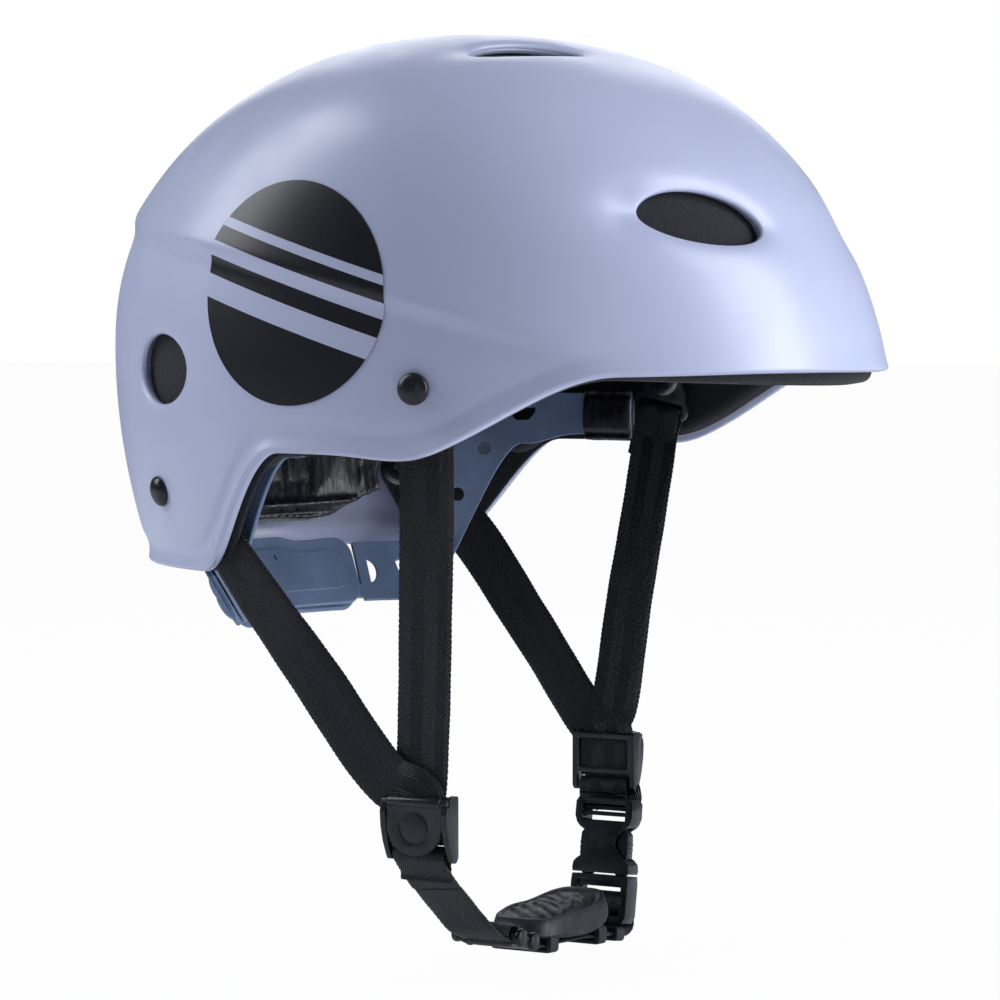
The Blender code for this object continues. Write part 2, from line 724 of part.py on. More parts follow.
def build_chin_fittings(plastic, rubber):
    path = chin_path()
    block = box_mesh("strap_slider", (23.4 * MM, 17 * MM, 3.4 * MM), (0, 0, 0), 0.8 * MM)
    slider = fitting("strap_slider", block, path[2].lerp(path[3], 0.5), path[3] - path[2], plastic)
    hoop = box_mesh("strap_keeper", (22 * MM, 6 * MM, 4.6 * MM), (0, 0, 0), 0.8 * MM)
    keeper = fitting("strap_keeper", hoop, path[5].lerp(path[6], 0.4), path[6] - path[5], rubber)
    cushion = box_mesh("chin_pad", (27 * MM, 54 * MM, 11 * MM), (0, 0, 6 * MM), 2 * MM)
    pad = fitting("chin_pad", cushion, path[4], path[5] - path[3], rubber)
    for end in (-1, 1):
        hoop = box_mesh("hoop", (22.5 * MM, 6 * MM, 5 * MM), (0, end * 20 * MM, 0.2 * MM))
        carve(pad, cutter(f"pad_hoop_{end}", hoop, pad.matrix_world), "UNION")
    for obj, opening in ((slider, 1.9 * MM), (keeper, 2.0 * MM), (pad, 2.6 * MM)):
        tunnel = box_mesh("tunnel", (WEB_SLOT, 70 * MM, opening))
        carve(obj, cutter(f"{obj.name}_tunnel", tunnel, obj.matrix_world))


def ring_mesh(name, inner, outer, length, segments=20):
    """Tube along local Z with flat ends."""
    bm = bmesh.new()
    loops = []
    for radius, z in ((outer, -1), (outer, 1), (inner, 1), (inner, -1)):
        loop = []
        for i in range(segments):
            angle = 2 * math.pi * i / segments
            loop.append(bm.verts.new((radius * math.cos(angle), radius * math.sin(angle), z * length / 2)))
        loops.append(loop)
    for k in range(4):
        first, second = loops[k], loops[(k + 1) % 4]
        for i in range(segments):
            j = (i + 1) % segments
            bm.faces.new((first[i], first[j], second[j], second[i]))
    return mesh_from(bm, name)


def across_at(point):
    return Matrix.Translation(point) @ Matrix.Rotation(math.pi / 2, 4, "Y")


def build_short_strap(webbing):
    """Short webbing from the left divider's bar down to the upper bar of the buckle socket."""
    frame = divider_frame(LEFT_DIVIDER, 1)
    bar = frame @ DIVIDER_BAR
    buckle = buckle_frame()
    inward = [(0, 6.4, 23), (0, 6.4, 20), (0, 4.6, 18.6), (0, -2, 18.6)]
    goals = [buckle @ (Vector(point) * MM) for point in inward]
    start = bar + Vector((0, 0, -2.7 * MM))
    body = ribbon_mesh("short_strap_left", chin_stations([start, *goals]))
    strap_obj = make_object("short_strap_left", body, webbing)
    eye = cutter("short_loop", ring_mesh("short_loop", 1.9 * MM, 3.1 * MM, WEBBING), across_at(bar))
    carve(strap_obj, eye, "UNION")


# ---------------------------------------------------------------- fit cradle

def band_radius(z):
    return BAND_RADIUS - math.tan(NAPE_TILT) * max(0.0, BAND_KNEE_Z - z)


def cradle_point(turn, z, offset=0.0):
    """Point on the band's surface; turn is measured from the rear, positive to the wearer's left."""
    lean = NAPE_TILT if z < BAND_KNEE_Z else 0.0
    radius = band_radius(z) + offset * math.cos(lean)
    x = BAND_AXIS_X - radius * math.cos(turn)
    return Vector((x, radius * math.sin(turn), z - offset * math.sin(lean)))


def cradle_strip(name, turns, edges, offset, thickness, origin=Vector((0, 0, 0))):
    """Closed strip on the cradle surface; edges(turn) gives its lower and upper height."""
    rings = []
    for turn in turns:
        low, high = edges(turn)
        heights = [low, low + (high - low) / 3, low + (high - low) * 2 / 3, high]
        outer = [cradle_point(turn, z, offset + thickness / 2) - origin for z in heights]
        inner = [cradle_point(turn, z, offset - thickness / 2) - origin for z in reversed(heights)]
        rings.append(outer + inner)
    return loft_mesh(name, rings)


def arm_level(turn):
    """Height of the arm's centre line: low in the housing, then up and along over the ear."""
    start, end = ARM_RISE
    rise = smoothstep((abs(math.degrees(turn)) - start) / (end - start))
    return BAND_Z + (ARM_TOP_Z - BAND_Z) * rise


def arm_edges(turn):
    step = 0.01
    slope = (arm_level(turn + step) - arm_level(turn - step)) / (2 * step * BAND_RADIUS)
    half = BAND_HEIGHT / 2 * math.sqrt(1 + slope * slope)
    half *= 1 - 0.28 * smoothstep((abs(math.degrees(turn)) - ARM_RISE[0]) / 45)
    return arm_level(turn) - half, arm_level(turn) + half


def spread(start, end, count):
    return [math.radians(start + (end - start) * i / count) for i in range(count + 1)]


def build_arm(word, side, plastic):
    """Perforated arm: its tongue crosses the dial, its far end lies over the ear."""
    axis = Vector((BAND_AXIS_X, 0, 0))
    tongue_middle = BAND_Z - side * TONGUE_OFFSET
    tongue_levels = (tongue_middle - TONGUE_HEIGHT / 2, tongue_middle + TONGUE_HEIGHT / 2)

    def edges(turn):
        if abs(math.degrees(turn)) < TONGUE_END or turn * side < 0:
            return tongue_levels
        return arm_edges(turn)

    turns = spread(-5 * side, (TONGUE_END - 0.1) * side, 6) + spread(TONGUE_END * side, ARM_END * side, 16)
    mesh = cradle_strip(f"band_{word}", turns, edges, 0, BAND_THICK, axis)
    arm = make_object(f"band_{word}", mesh, plastic)
    arm.location = axis
    for index, (degrees, half_along, half_up) in enumerate(ARM_HOLES):
        turn = math.radians(degrees * side)
        at = cradle_point(turn, arm_level(turn))
        mesh = rod_mesh("hole", 1, 1, 16)
        mesh.transform(Matrix.Diagonal((half_along * MM, half_up * MM, 12 * MM, 1)))
        outward = Vector((-math.cos(turn), math.sin(turn), 0))
        slope = arm_level(turn + 0.02) - arm_level(turn - 0.02)
        along = Vector((math.sin(turn), math.cos(turn), 0)) * 0.04 * BAND_RADIUS + Vector((0, 0, slope))
        carve(arm, cutter(f"band_{word}_hole_{index}", mesh, facing(outward, along, at)))


def dial_frame():
    """At the band's rear centre, local Z out of the back along the dial's axis, local X up."""
    outward = Vector((-math.cos(NAPE_TILT), 0, -math.sin(NAPE_TILT)))
    return facing(outward, (0, 0, 1), cradle_point(0, BAND_Z))


def cradle_plate(name, offset, thickness, material):
    """Plate across the nape, centred on the dial, at an offset from the band's surface."""
    heights = (BAND_Z - HOUSING_HEIGHT / 2, BAND_Z + HOUSING_HEIGHT / 2)
    turns = spread(-HOUSING_SPAN, HOUSING_SPAN, 14)
    return make_object(name, cradle_strip(name, turns, lambda turn: heights, offset, thickness), material)


def build_temple_pad(word, side, leather):
    """Pad on the inside of the arm's front end, covering its pin."""
    turns = spread(TEMPLE_PAD_TURNS[0] * side, TEMPLE_PAD_TURNS[1] * side, 5)
    levels = (ARM_TOP_Z - TEMPLE_PAD_HEIGHT / 2, ARM_TOP_Z + TEMPLE_PAD_HEIGHT / 2)
    mesh = cradle_strip(f"temple_pad_{word}", turns, lambda turn: levels, -4.8 * MM, 4 * MM)
    smooth(make_object(f"temple_pad_{word}", mesh, leather))


def build_cradle(grey, black, steel, leather):
    for side, word in SIDES:
        build_arm(word, side, grey)
        build_arm_pin(word, side, black)
        build_temple_pad(word, side, leather)
    frame = dial_frame()
    housing = cradle_plate("dial_housing", 2.6 * MM, 2.4 * MM, grey)
    carve(housing, cutter("dial_bore", rod_mesh("bore", 3.6 * MM, 30 * MM, 20), frame))
    cradle_plate("dial_cover", -2.5 * MM, 2.0 * MM, grey)
    build_pinion(frame, black)
    build_knob(frame, grey)
    build_dial_hardware(frame, steel)


def gear_outline(teeth, root, tip):
    points = []
    for tooth in range(teeth):
        for share, radius in ((0, root), (0.28, root), (0.42, tip), (0.72, tip), (0.86, root)):
            angle = 2 * math.pi * (tooth + share) / teeth
            points.append((radius * math.cos(angle), radius * math.sin(angle)))
    return points


def build_pinion(frame, black):
    """Pinion between the two tongues, with a hub that reaches out through the housing."""
    mesh = prism_mesh("dial_pinion", gear_outline(12, 3.9 * MM, 4.9 * MM), -0.9 * MM, 1.0 * MM)
    pinion = make_object("dial_pinion", mesh, black)
    pinion.matrix_world = frame
    hub = rod_mesh("hub", 3.2 * MM, 5.4 * MM, 20)
    hub.transform(Matrix.Translation((0, 0, 2.2 * MM)))
    carve(pinion, cutter("pinion_hub", hub, frame), "UNION")
    carve(pinion, cutter("pinion_bore", rod_mesh("bore", 1.6 * MM, 60 * MM, 16), frame))


def build_knob(frame, grey):
    """Lobed knob with a screw recess outside and a groove for the click spring inside."""
    rings = []
    for height, scale in ((5.2, 0.95), (6.0, 1.0), (12.4, 1.0), (13.4, 0.93)):
        ring = []
        for i in range(48):
            angle = 2 * math.pi * i / 48
            radius = (DIAL_RADIUS + KNOB_LOBE * math.cos(KNOB_LOBES * angle)) * scale
            ring.append((radius * math.cos(angle), radius * math.sin(angle), height * MM))
        rings.append(ring)
    knob = make_object("dial_knob", loft_mesh("dial_knob", rings), grey)
    knob.matrix_world = frame
    recess = rod_mesh("recess", 4.4 * MM, 6 * MM, 20)
    recess.transform(Matrix.Translation((0, 0, 14.2 * MM)))
    carve(knob, cutter("knob_recess", recess, frame))
    groove = ring_mesh("groove", 6.4 * MM, 10.6 * MM, 3.2 * MM, 24)
    groove.transform(Matrix.Translation((0, 0, 5.2 * MM)))
    carve(knob, cutter("knob_groove", groove, frame))
    carve(knob, cutter("knob_bore", rod_mesh("bore", 1.6 * MM, 60 * MM, 16), frame))
    smooth(knob, 30)


def build_dial_hardware(frame, steel):
    """Screw down the dial's axis, and the split click spring in the knob's groove."""
    head = [(0, 13.2), (2.6, 13.0), (3.2, 12.2), (3.2, 11.6), (1.25, 11.6), (1.25, -0.6), (0, -0.6)]
    smooth(turned("dial_screw", [(r * MM, z * MM) for r, z in head], steel, frame, 16))
    ring = ring_mesh("click_spring", 7.0 * MM, 10.0 * MM, 0.8 * MM, 24)
    ring.transform(Matrix.Translation((0, 0, 5.3 * MM)))
    spring = make_object("click_spring", ring, steel)
    spring.matrix_world = frame
    gap = box_mesh("gap", (6 * MM, 5 * MM, 4 * MM), (9 * MM, 0, 5.3 * MM))
    carve(spring, cutter("spring_gap", gap, frame))


def build_arm_pin(word, side, black):
    """Push pin through the arm's front end, pointing out towards the liner."""
    turn = math.radians(ARM_PIN * side)
    at = cradle_point(turn, ARM_TOP_Z)
    outward = Vector((-math.cos(turn), math.sin(turn), 0))
    pin_at = facing(outward, (0, 0, 1), at)
    hole = cutter(f"pin_{word}_hole", rod_mesh("hole", 2.1 * MM, 18 * MM, 14), pin_at)
    carve(bpy.data.objects[f"band_{word}"], hole)
    pin = [(0, 4.4), (1.3, 4.2), (1.7, 3.2), (1.7, -1.2), (3.6, -1.2), (3.3, -2.2), (0, -2.4)]
    smooth(turned(f"band_pin_{word}", [(r * MM, z * MM) for r, z in pin], black, pin_at, 14))


# ---------------------------------------------------------------- the whole helmet

def pivot_empty(name, matrix):
    empty = bpy.data.objects.new(name, None)
    PARTS.objects.link(empty)
    empty.matrix_world = matrix
    return empty


def hang_under(empty, names):
    bpy.context.view_layer.update()
    for name in names:
        child = bpy.data.objects[name]
        world = child.matrix_world.copy()
        child.parent = empty
        child.matrix_parent_inverse = Matrix.Identity(4)
        child.matrix_basis = empty.matrix_world.inverted() @ world


CHIN_PIECES = (
    "chin_strap", "buckle_plug", "prong_front", "prong_rear", "chin_pad", "strap_slider", "strap_keeper",
)
DIAL_PIECES = ("dial_knob", "dial_pinion", "dial_screw", "click_spring")


def build_helmet():
    white = make_material("white_abs", (0.62, 0.66, 0.80), 0.35)
    foam = make_material("black_eva", (0.02, 0.02, 0.03), 0.8)
    leather = make_material("black_leatherette", (0.03, 0.03, 0.04), 0.5)
    webbing = make_material("black_webbing", (0.012, 0.012, 0.02), 0.7)
    plastic = make_material("black_plastic", (0.015, 0.015, 0.02), 0.4)
    grey = make_material("blue_grey_plastic", (0.10, 0.14, 0.22), 0.45)
    rubber = make_material("black_rubber", (0.02, 0.02, 0.025), 0.6)
    steel = make_material("steel", (0.6, 0.6, 0.62), 0.3, 1.0)

    build_shell_and_liner(white, foam)
    build_pads(leather)
    build_anchors(plastic, steel)
    build_upper_straps(webbing)
    build_divider("right", RIGHT_DIVIDER, -1, plastic)
    build_divider("left", LEFT_DIVIDER, 1, plastic)
    build_short_strap(webbing)
    holder = Matrix.Translation(pivot_point())
    socket_frame = build_socket(plastic)
    build_plug(socket_frame, plastic, holder)
    build_prongs(socket_frame, plastic)
    build_chin_strap(webbing, holder)
    build_chin_fittings(plastic, rubber)
    build_cradle(grey, plastic, steel, leather)
    bpy.context.view_layer.update()
    hang_under(pivot_empty("chin_pivot", holder), CHIN_PIECES)
    hang_under(pivot_empty("dial_axis", dial_frame()), DIAL_PIECES)


def new_collection(name):
    collection = bpy.data.collections.new(name)
    bpy.context.scene.collection.children.link(collection)
    return collection


clear_scene()
PARTS = new_collection("water_helmet")
CUTTERS = new_collection("cutters")
build_helmet()
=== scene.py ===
"""Looks of the water helmet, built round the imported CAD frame.  Metres, +X front, +Y wearer's left."""
import json
import math

import bmesh
import bpy
import numpy as np
from mathutils import Matrix, Vector, geometry, kdtree


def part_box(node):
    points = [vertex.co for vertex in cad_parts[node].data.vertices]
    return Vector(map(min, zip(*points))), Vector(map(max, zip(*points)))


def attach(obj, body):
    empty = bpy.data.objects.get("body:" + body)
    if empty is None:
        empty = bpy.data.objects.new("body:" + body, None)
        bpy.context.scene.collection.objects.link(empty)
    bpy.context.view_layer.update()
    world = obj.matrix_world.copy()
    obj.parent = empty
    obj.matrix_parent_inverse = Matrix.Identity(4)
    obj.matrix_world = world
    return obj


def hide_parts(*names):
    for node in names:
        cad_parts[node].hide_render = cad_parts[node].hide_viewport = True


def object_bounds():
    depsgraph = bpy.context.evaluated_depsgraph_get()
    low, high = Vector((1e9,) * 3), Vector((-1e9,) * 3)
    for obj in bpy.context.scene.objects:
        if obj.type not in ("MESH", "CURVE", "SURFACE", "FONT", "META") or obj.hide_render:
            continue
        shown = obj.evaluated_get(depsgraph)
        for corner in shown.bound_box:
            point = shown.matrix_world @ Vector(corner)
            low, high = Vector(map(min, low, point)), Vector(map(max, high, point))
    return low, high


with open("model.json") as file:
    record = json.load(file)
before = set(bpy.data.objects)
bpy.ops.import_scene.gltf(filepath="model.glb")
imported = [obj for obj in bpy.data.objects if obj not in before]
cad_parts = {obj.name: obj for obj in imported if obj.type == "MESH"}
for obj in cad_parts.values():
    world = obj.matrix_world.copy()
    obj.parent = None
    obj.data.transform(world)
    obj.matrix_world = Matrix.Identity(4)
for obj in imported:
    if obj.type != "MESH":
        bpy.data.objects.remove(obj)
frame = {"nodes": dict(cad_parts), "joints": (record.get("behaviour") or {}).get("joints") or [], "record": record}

CAD_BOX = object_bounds()
MM = 0.001

# ---------------------------------------------------------------- driving sizes, from the frame

SHELL_LOW, SHELL_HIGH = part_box("outer_shell")
SIDE_REACH = SHELL_HIGH.y
REAR_REACH = -SHELL_LOW.x
APEX_Z = SHELL_HIGH.z
FRONT_WIDEST_Z = -136 * MM
SIDE_WIDEST_Z = -79 * MM
PLAN_EXPONENT = 1.96
FRONT_EXPONENT = 2.2
SIDE_EXPONENT = 2.85
REAR_EXPONENT = 2.06
BROW_Z = -89 * MM
BROW_SHARE = (BROW_Z - FRONT_WIDEST_Z) / (APEX_Z - FRONT_WIDEST_Z)
FRONT_REACH = SHELL_HIGH.x / (1 - BROW_SHARE ** FRONT_EXPONENT) ** (1 / FRONT_EXPONENT)
TUCK = 0.06
TUCK_HEIGHT = 60 * MM
SHELL_WALL = 4 * MM
LINER_RETURN = (-34 * MM, -58 * MM)
LINER_GAP = 1.6 * MM
LINER_WALL = 9.5 * MM
LINER_INSIDE = SHELL_WALL + LINER_GAP + LINER_WALL

BROW_SLOPE, BROW_RUN = 1.5 * MM, (139 * MM, 84 * MM)
EAR_DROP, EAR_RUN = 24 * MM, (85 * MM, 20 * MM)
NAPE_DROP, NAPE_RUN = 40.5 * MM, (-27 * MM, -75 * MM)
LOBE_DROP, LOBE_X, LOBE_WIDTH = 1.8 * MM, 18 * MM, 16 * MM

SIDES = ((-1, "right"), (1, "left"))
VENTS = {
    "front": (Vector((100, 54, -40)) * MM, Vector((0.56, -0.82, -0.1)), 23 * MM, 8.8 * MM),
    "crown": (Vector((32, 43, 16.4)) * MM, Vector((0.53, -0.85, 0)), 21 * MM, 8.2 * MM),
    "rear": (Vector((-82, 89, -89)) * MM, Vector((-0.7, -0.45, 0)), 15.5 * MM, 11 * MM),
}
EDGE_ROUND = 1.3 * MM
WEBBING = 18 * MM
WEB_THICK = 1.2 * MM


# ---------------------------------------------------------------- small helpers

def smoothstep(value):
    value = np.clip(value, 0.0, 1.0)
    return value * value * (3 - 2 * value)


def unit(vectors):
    return vectors / np.maximum(np.linalg.norm(vectors, axis=-1, keepdims=True), 1e-12)


def centre_of(node):
    low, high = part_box(node)
    return (low + high) / 2


def add_object(name, mesh, body, slot, replaced=(), finish=None):
    """Link a mesh, give it a finish (its slot's, if none is named) and a body, and hide what it replaces."""
    obj = linked(name, mesh)
    mesh.materials.clear()
    mesh.materials.append(FINISH[finish or slot])
    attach(obj, body)
    if replaced:
        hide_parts(*replaced)
    return obj


def linked(name, data):
    obj = bpy.data.objects.new(name, data)
    bpy.context.scene.collection.objects.link(obj)
    return obj


def shade(mesh, angle=32):
    mesh.shade_smooth()
    mesh.set_sharp_from_angle(angle=math.radians(angle))
    return mesh


def shift(x, y, z):
    """Translation by millimetres."""
    return Matrix.Translation(Vector((x, y, z)) * MM)


def in_metres(points):
    return [tuple(value * MM for value in point) for point in points]


def reworked(mesh, *steps):
    """Run bmesh steps, each a function of the open bmesh, on a mesh."""
    bm = bmesh.new()
    bm.from_mesh(mesh)
    for step in steps:
        step(bm)
    bm.to_mesh(mesh)
    bm.free()
    return mesh


def outward_faces(bm):
    bmesh.ops.recalc_face_normals(bm, faces=bm.faces)


def mesh_from(bm, name, matrix=Matrix.Identity(4)):
    """Turn an open bmesh into a mesh whose faces all point outward."""
    outward_faces(bm)
    bm.transform(matrix)
    mesh = bpy.data.meshes.new(name)
    bm.to_mesh(mesh)
    bm.free()
    return mesh


def strip_faces(first, second):
    """Quads between two closed rings of vertex numbers."""
    return [(int(a), int(b), int(d), int(c)) for a, b, c, d in
            zip(first, second, np.roll(first, -1), np.roll(second, -1))]


def mesh_of(name, points, faces, normals=None):
    mesh = bpy.data.meshes.new(name)
    mesh.from_pydata([tuple(p) for p in points], [], faces)
    mesh.update()
    mesh.shade_smooth()
    if normals is not None:
        mesh.normals_split_custom_set_from_vertices([tuple(n) for n in normals])
    return mesh


def facing(normal, hint, at):
    """Matrix at a point: local Z along the normal, local X along the hint as far as it can be."""
    z = Vector(normal).normalized()
    x = Vector(hint)
    x = (x - x.dot(z) * z).normalized()
    return Matrix.Translation(at) @ Matrix((x, z.cross(x), z)).transposed().to_4x4()


# ---------------------------------------------------------------- curved sheets with rounded edges

def inside(points, loop):
    """Even-odd test of many layout points against one closed loop."""
    x, y = points[:, 0][:, None], points[:, 1][:, None]
    x0, y0 = loop[:, 0][None], loop[:, 1][None]
    x1, y1 = np.roll(loop[:, 0], -1)[None], np.roll(loop[:, 1], -1)[None]
    crosses = (y0 > y) != (y1 > y)
    with np.errstate(divide="ignore", invalid="ignore"):
        at = x0 + (y - y0) * (x1 - x0) / (y1 - y0)
    return (np.count_nonzero(crosses & (x < at), axis=1) % 2) == 1


def lattice(outline, holes, extra, spacing):
    """Triangular lattice inside the outline, clear of the holes and of the extra points."""
    low, high = outline.min(0), outline.max(0)
    rows = np.arange(low[1], high[1], spacing * math.sqrt(3) / 2)
    points = []
    for index, y in enumerate(rows):
        xs = np.arange(low[0] + (index % 2) * spacing / 2, high[0], spacing)
        points.append(np.stack([xs, np.full_like(xs, y)], axis=1))
    points = np.concatenate(points)
    keep = np.concatenate([inside(part, outline) for part in np.array_split(points, 40)])
    points = points[keep]
    for hole in holes:
        points = points[~inside(points, hole)]
    fixed = np.concatenate([outline, *holes, extra]) if len(extra) else np.concatenate([outline, *holes])
    tree = kdtree.KDTree(len(fixed))
    for index, point in enumerate(fixed):
        tree.insert((point[0], point[1], 0), index)
    tree.balance()
    far = [tree.find((p[0], p[1], 0))[2] > spacing * 0.62 for p in points]
    return points[np.array(far)] if len(points) else points


def flat_triangles(outline, holes, points):
    """Delaunay triangles between the outline and the holes.  Returns layout points and triangles."""
    loops = [outline, *holes]
    coords = np.concatenate([*loops, points])
    edges = []
    start = 0
    for loop in loops:
        count = len(loop)
        edges += [(start + i, start + (i + 1) % count) for i in range(count)]
        start += count
    result = geometry.delaunay_2d_cdt([Vector(p) for p in coords], edges, [], 0, 1e-7)
    out = np.array([tuple(v) for v in result[0]])
    faces = np.array(result[2])
    middle = out[faces].mean(axis=1)
    keep = np.concatenate([inside(part, outline) for part in np.array_split(middle, 40)])
    for hole in holes:
        keep &= ~inside(middle, hole)
    order = {}
    for new, originals in enumerate(result[3]):
        for original in originals:
            order[original] = new
    return out, faces[keep], order


def surface_normals(place, layout, step):
    du, dv = np.array([step, 0]), np.array([0, step])
    return unit(np.cross(place(layout + du) - place(layout - du), place(layout + dv) - place(layout - dv)))


def sheet(name, outline, holes, spacing, place, thickness, edge, extra=(), step=1e-5):
    """Sheet of a thickness behind a surface, its border rounded by a radius of edge.

    The outline runs counter-clockwise and the holes clockwise in the flat layout that place maps.
    """
    extra = np.array(extra).reshape(-1, 2)
    outline, holes = np.array(outline), [np.array(hole) for hole in holes]
    inner_points = lattice(outline, holes, extra, spacing)
    inner_points = np.concatenate([extra, inner_points]) if len(extra) else inner_points
    layout, faces, order = flat_triangles(outline, holes, inner_points)
    top = place(layout)
    normal = surface_normals(place, layout, step)
    count = len(layout)
    bottom = top - normal * thickness
    points, normals = [top, bottom], [normal, -normal]
    all_faces = [tuple(face) for face in faces.tolist()]
    all_faces += [(a + count, c + count, b + count) for a, b, c in faces.tolist()]
    total = 2 * count
    start = 0
    bends = [math.radians(18 * k) for k in range(1, 6)]
    for loop in [outline, *holes]:
        ids = np.array([order[start + i] for i in range(len(loop))])
        start += len(loop)
        tangent = unit(np.roll(top[ids], -1, axis=0) - np.roll(top[ids], 1, axis=0))
        out = unit(np.cross(tangent, normal[ids]))
        previous = ids
        for bend in bends + [math.pi - b for b in bends[::-1]]:
            rim = edge if bend <= math.pi / 2 + 1e-6 else thickness - edge
            down = rim - edge * math.cos(bend)
            points.append(top[ids] + out * edge * math.sin(bend) - normal[ids] * down)
            normals.append(out * math.sin(bend) + normal[ids] * math.cos(bend))
            here = np.arange(total, total + len(ids))
            total += len(ids)
            all_faces += strip_faces(previous, here)
            previous = here
        all_faces += strip_faces(previous, ids + count)
    return mesh_of(name, np.concatenate(points), all_faces, np.concatenate(normals))


def ellipse(half_x, half_y, count, clockwise=False, power=2.0):
    angles = np.linspace(0, 2 * math.pi, count, endpoint=False)
    if clockwise:
        angles = -angles
    c, s = np.cos(angles), np.sin(angles)
    c = np.sign(c) * np.abs(c) ** (2 / power)
    s = np.sign(s) * np.abs(s) ** (2 / power)
    return np.stack([half_x * c, half_y * s], axis=1)


# ---------------------------------------------------------------- the helmet's surface

def run_share(x, run):
    front, rear = run
    return smoothstep((front - x) / (front - rear))


def shell_rim(x):
    lobe = LOBE_DROP * np.exp(-((x - LOBE_X) / LOBE_WIDTH) ** 2)
    drops = BROW_SLOPE * run_share(x, BROW_RUN) + EAR_DROP * run_share(x, EAR_RUN)
    return BROW_Z - drops - NAPE_DROP * run_share(x, NAPE_RUN) - lobe


def liner_rim(x):
    behind_ear = NAPE_DROP * run_share(x, NAPE_RUN) * (1 - run_share(x, LINER_RETURN))
    return BROW_Z - BROW_SLOPE - 1 * MM - EAR_DROP * run_share(x, EAR_RUN) - behind_ear


def section(azimuth):
    """Reach, widest level and roundness exponent of the upright section at each azimuth."""
    c, s = np.cos(azimuth), np.sin(azimuth)
    along = np.where(c > 0, FRONT_REACH, REAR_REACH)
    share = np.abs(c / along) ** PLAN_EXPONENT + np.abs(s / SIDE_REACH) ** PLAN_EXPONENT
    reach = share ** (-1 / PLAN_EXPONENT)
    blend = c * c
    end_level = np.where(c > 0, FRONT_WIDEST_Z, SIDE_WIDEST_Z)
    end_exponent = np.where(c > 0, FRONT_EXPONENT, REAR_EXPONENT)
    level = end_level * blend + SIDE_WIDEST_Z * (1 - blend)
    return reach, level, end_exponent * blend + SIDE_EXPONENT * (1 - blend)


def dome(layout):
    """Layout point (polar: azimuth, and angle down from the apex) to the smooth outer surface."""
    azimuth = np.arctan2(layout[:, 1], layout[:, 0])
    rise = math.pi / 2 - np.hypot(layout[:, 0], layout[:, 1])
    reach, level, exponent = section(azimuth)
    height = APEX_Z - level
    c, s = np.abs(np.cos(rise)), np.clip(np.sin(rise), 0, 1)
    scale = (c ** exponent + s ** exponent) ** (-1 / exponent)
    above = rise > 0
    z = np.where(above, level + height * s * scale, level + height * rise)
    below = reach * (1 - TUCK * ((level - z) / TUCK_HEIGHT) ** 2)
    radius = np.where(above, reach * c * scale, below)
    return np.stack([radius * np.cos(azimuth), radius * np.sin(azimuth), z], axis=1)


def rim_angle(azimuth, rim):
    """Angle down from the apex at which each azimuth meets a rim height given along X."""
    reach, level, exponent = section(azimuth)
    share = (rim(reach * np.cos(azimuth)) - level) / (APEX_Z - level)
    lifted = np.clip(share, 0, 1)
    rise = np.arctan2(lifted, (1 - lifted ** exponent) ** (1 / exponent))
    return math.pi / 2 - np.where(share > 0, rise, share)


def polar(azimuth, angle):
    return np.stack([angle * np.cos(azimuth), angle * np.sin(azimuth)], axis=1)


def rim_scale(azimuth, rim):
    """Metres of surface for one radian down the section, at the rim."""
    end = rim_angle(azimuth, rim)
    return np.linalg.norm(dome(polar(azimuth, end)) - dome(polar(azimuth, end - 0.01)), axis=1) / 0.01


def rim_distance(layout, rim):
    azimuth = np.arctan2(layout[:, 1], layout[:, 0])
    return (rim_angle(azimuth, rim) - np.hypot(layout[:, 0], layout[:, 1])) * rim_scale(azimuth, rim)


def vent_frames():
    """Matrix and half sizes of every vent; local Z out of the shell, local X along the vent."""
    frames = {}
    for name, (centre, hint, half_length, half_height) in VENTS.items():
        for side, word in SIDES:
            at = Vector((centre.x, centre.y * side, centre.z))
            spot = layout_at(at)
            normal = surface_normals(dome, spot, 1e-4)[0]
            point = dome(spot)[0]
            long_axis = (hint.x, hint.y * side, hint.z)
            frames[f"{name}_{word}"] = (facing(normal, long_axis, point), half_length, half_height)
    return frames


def layout_at(point):
    """Layout point whose azimuth and distance down match a point near the surface."""
    azimuth = np.array([math.atan2(point.y, point.x)])
    angles = np.linspace(0.001, 2.4, 900)
    path = dome(polar(np.full_like(angles, azimuth[0]), angles))
    nearest = np.argmin(np.linalg.norm(path - np.array(point), axis=1))
    return polar(azimuth, angles[nearest:nearest + 1])


def project(matrix, offsets):
    """Layout points whose surface points have these local X, Y offsets in a frame on the surface."""
    at, x, y = (np.array(matrix.translation), np.array(matrix.col[0][:3]), np.array(matrix.col[1][:3]))
    layout = np.repeat(layout_at(Vector(at)), len(offsets), axis=0)
    step = 1e-4
    for _ in range(14):
        here = dome(layout) - at
        error = np.stack([here @ x, here @ y], axis=1) - offsets
        du = (dome(layout + (step, 0)) - dome(layout - (step, 0))) / (2 * step)
        dv = (dome(layout + (0, step)) - dome(layout - (0, step))) / (2 * step)
        a, b, c, d = du @ x, dv @ x, du @ y, dv @ y
        det = a * d - b * c
        layout = layout - np.stack(
            [(d * error[:, 0] - b * error[:, 1]) / det, (a * error[:, 1] - c * error[:, 0]) / det], axis=1)
    return layout


VENT_FRAMES = vent_frames()

# The crease: rear height, fall to where it meets the brow, and the azimuth range that it runs over
CREASE_REAR_Z = -34 * MM
CREASE_FALL = 53 * MM
CREASE_END = math.radians(42.7)
CREASE_POWER = 1.6


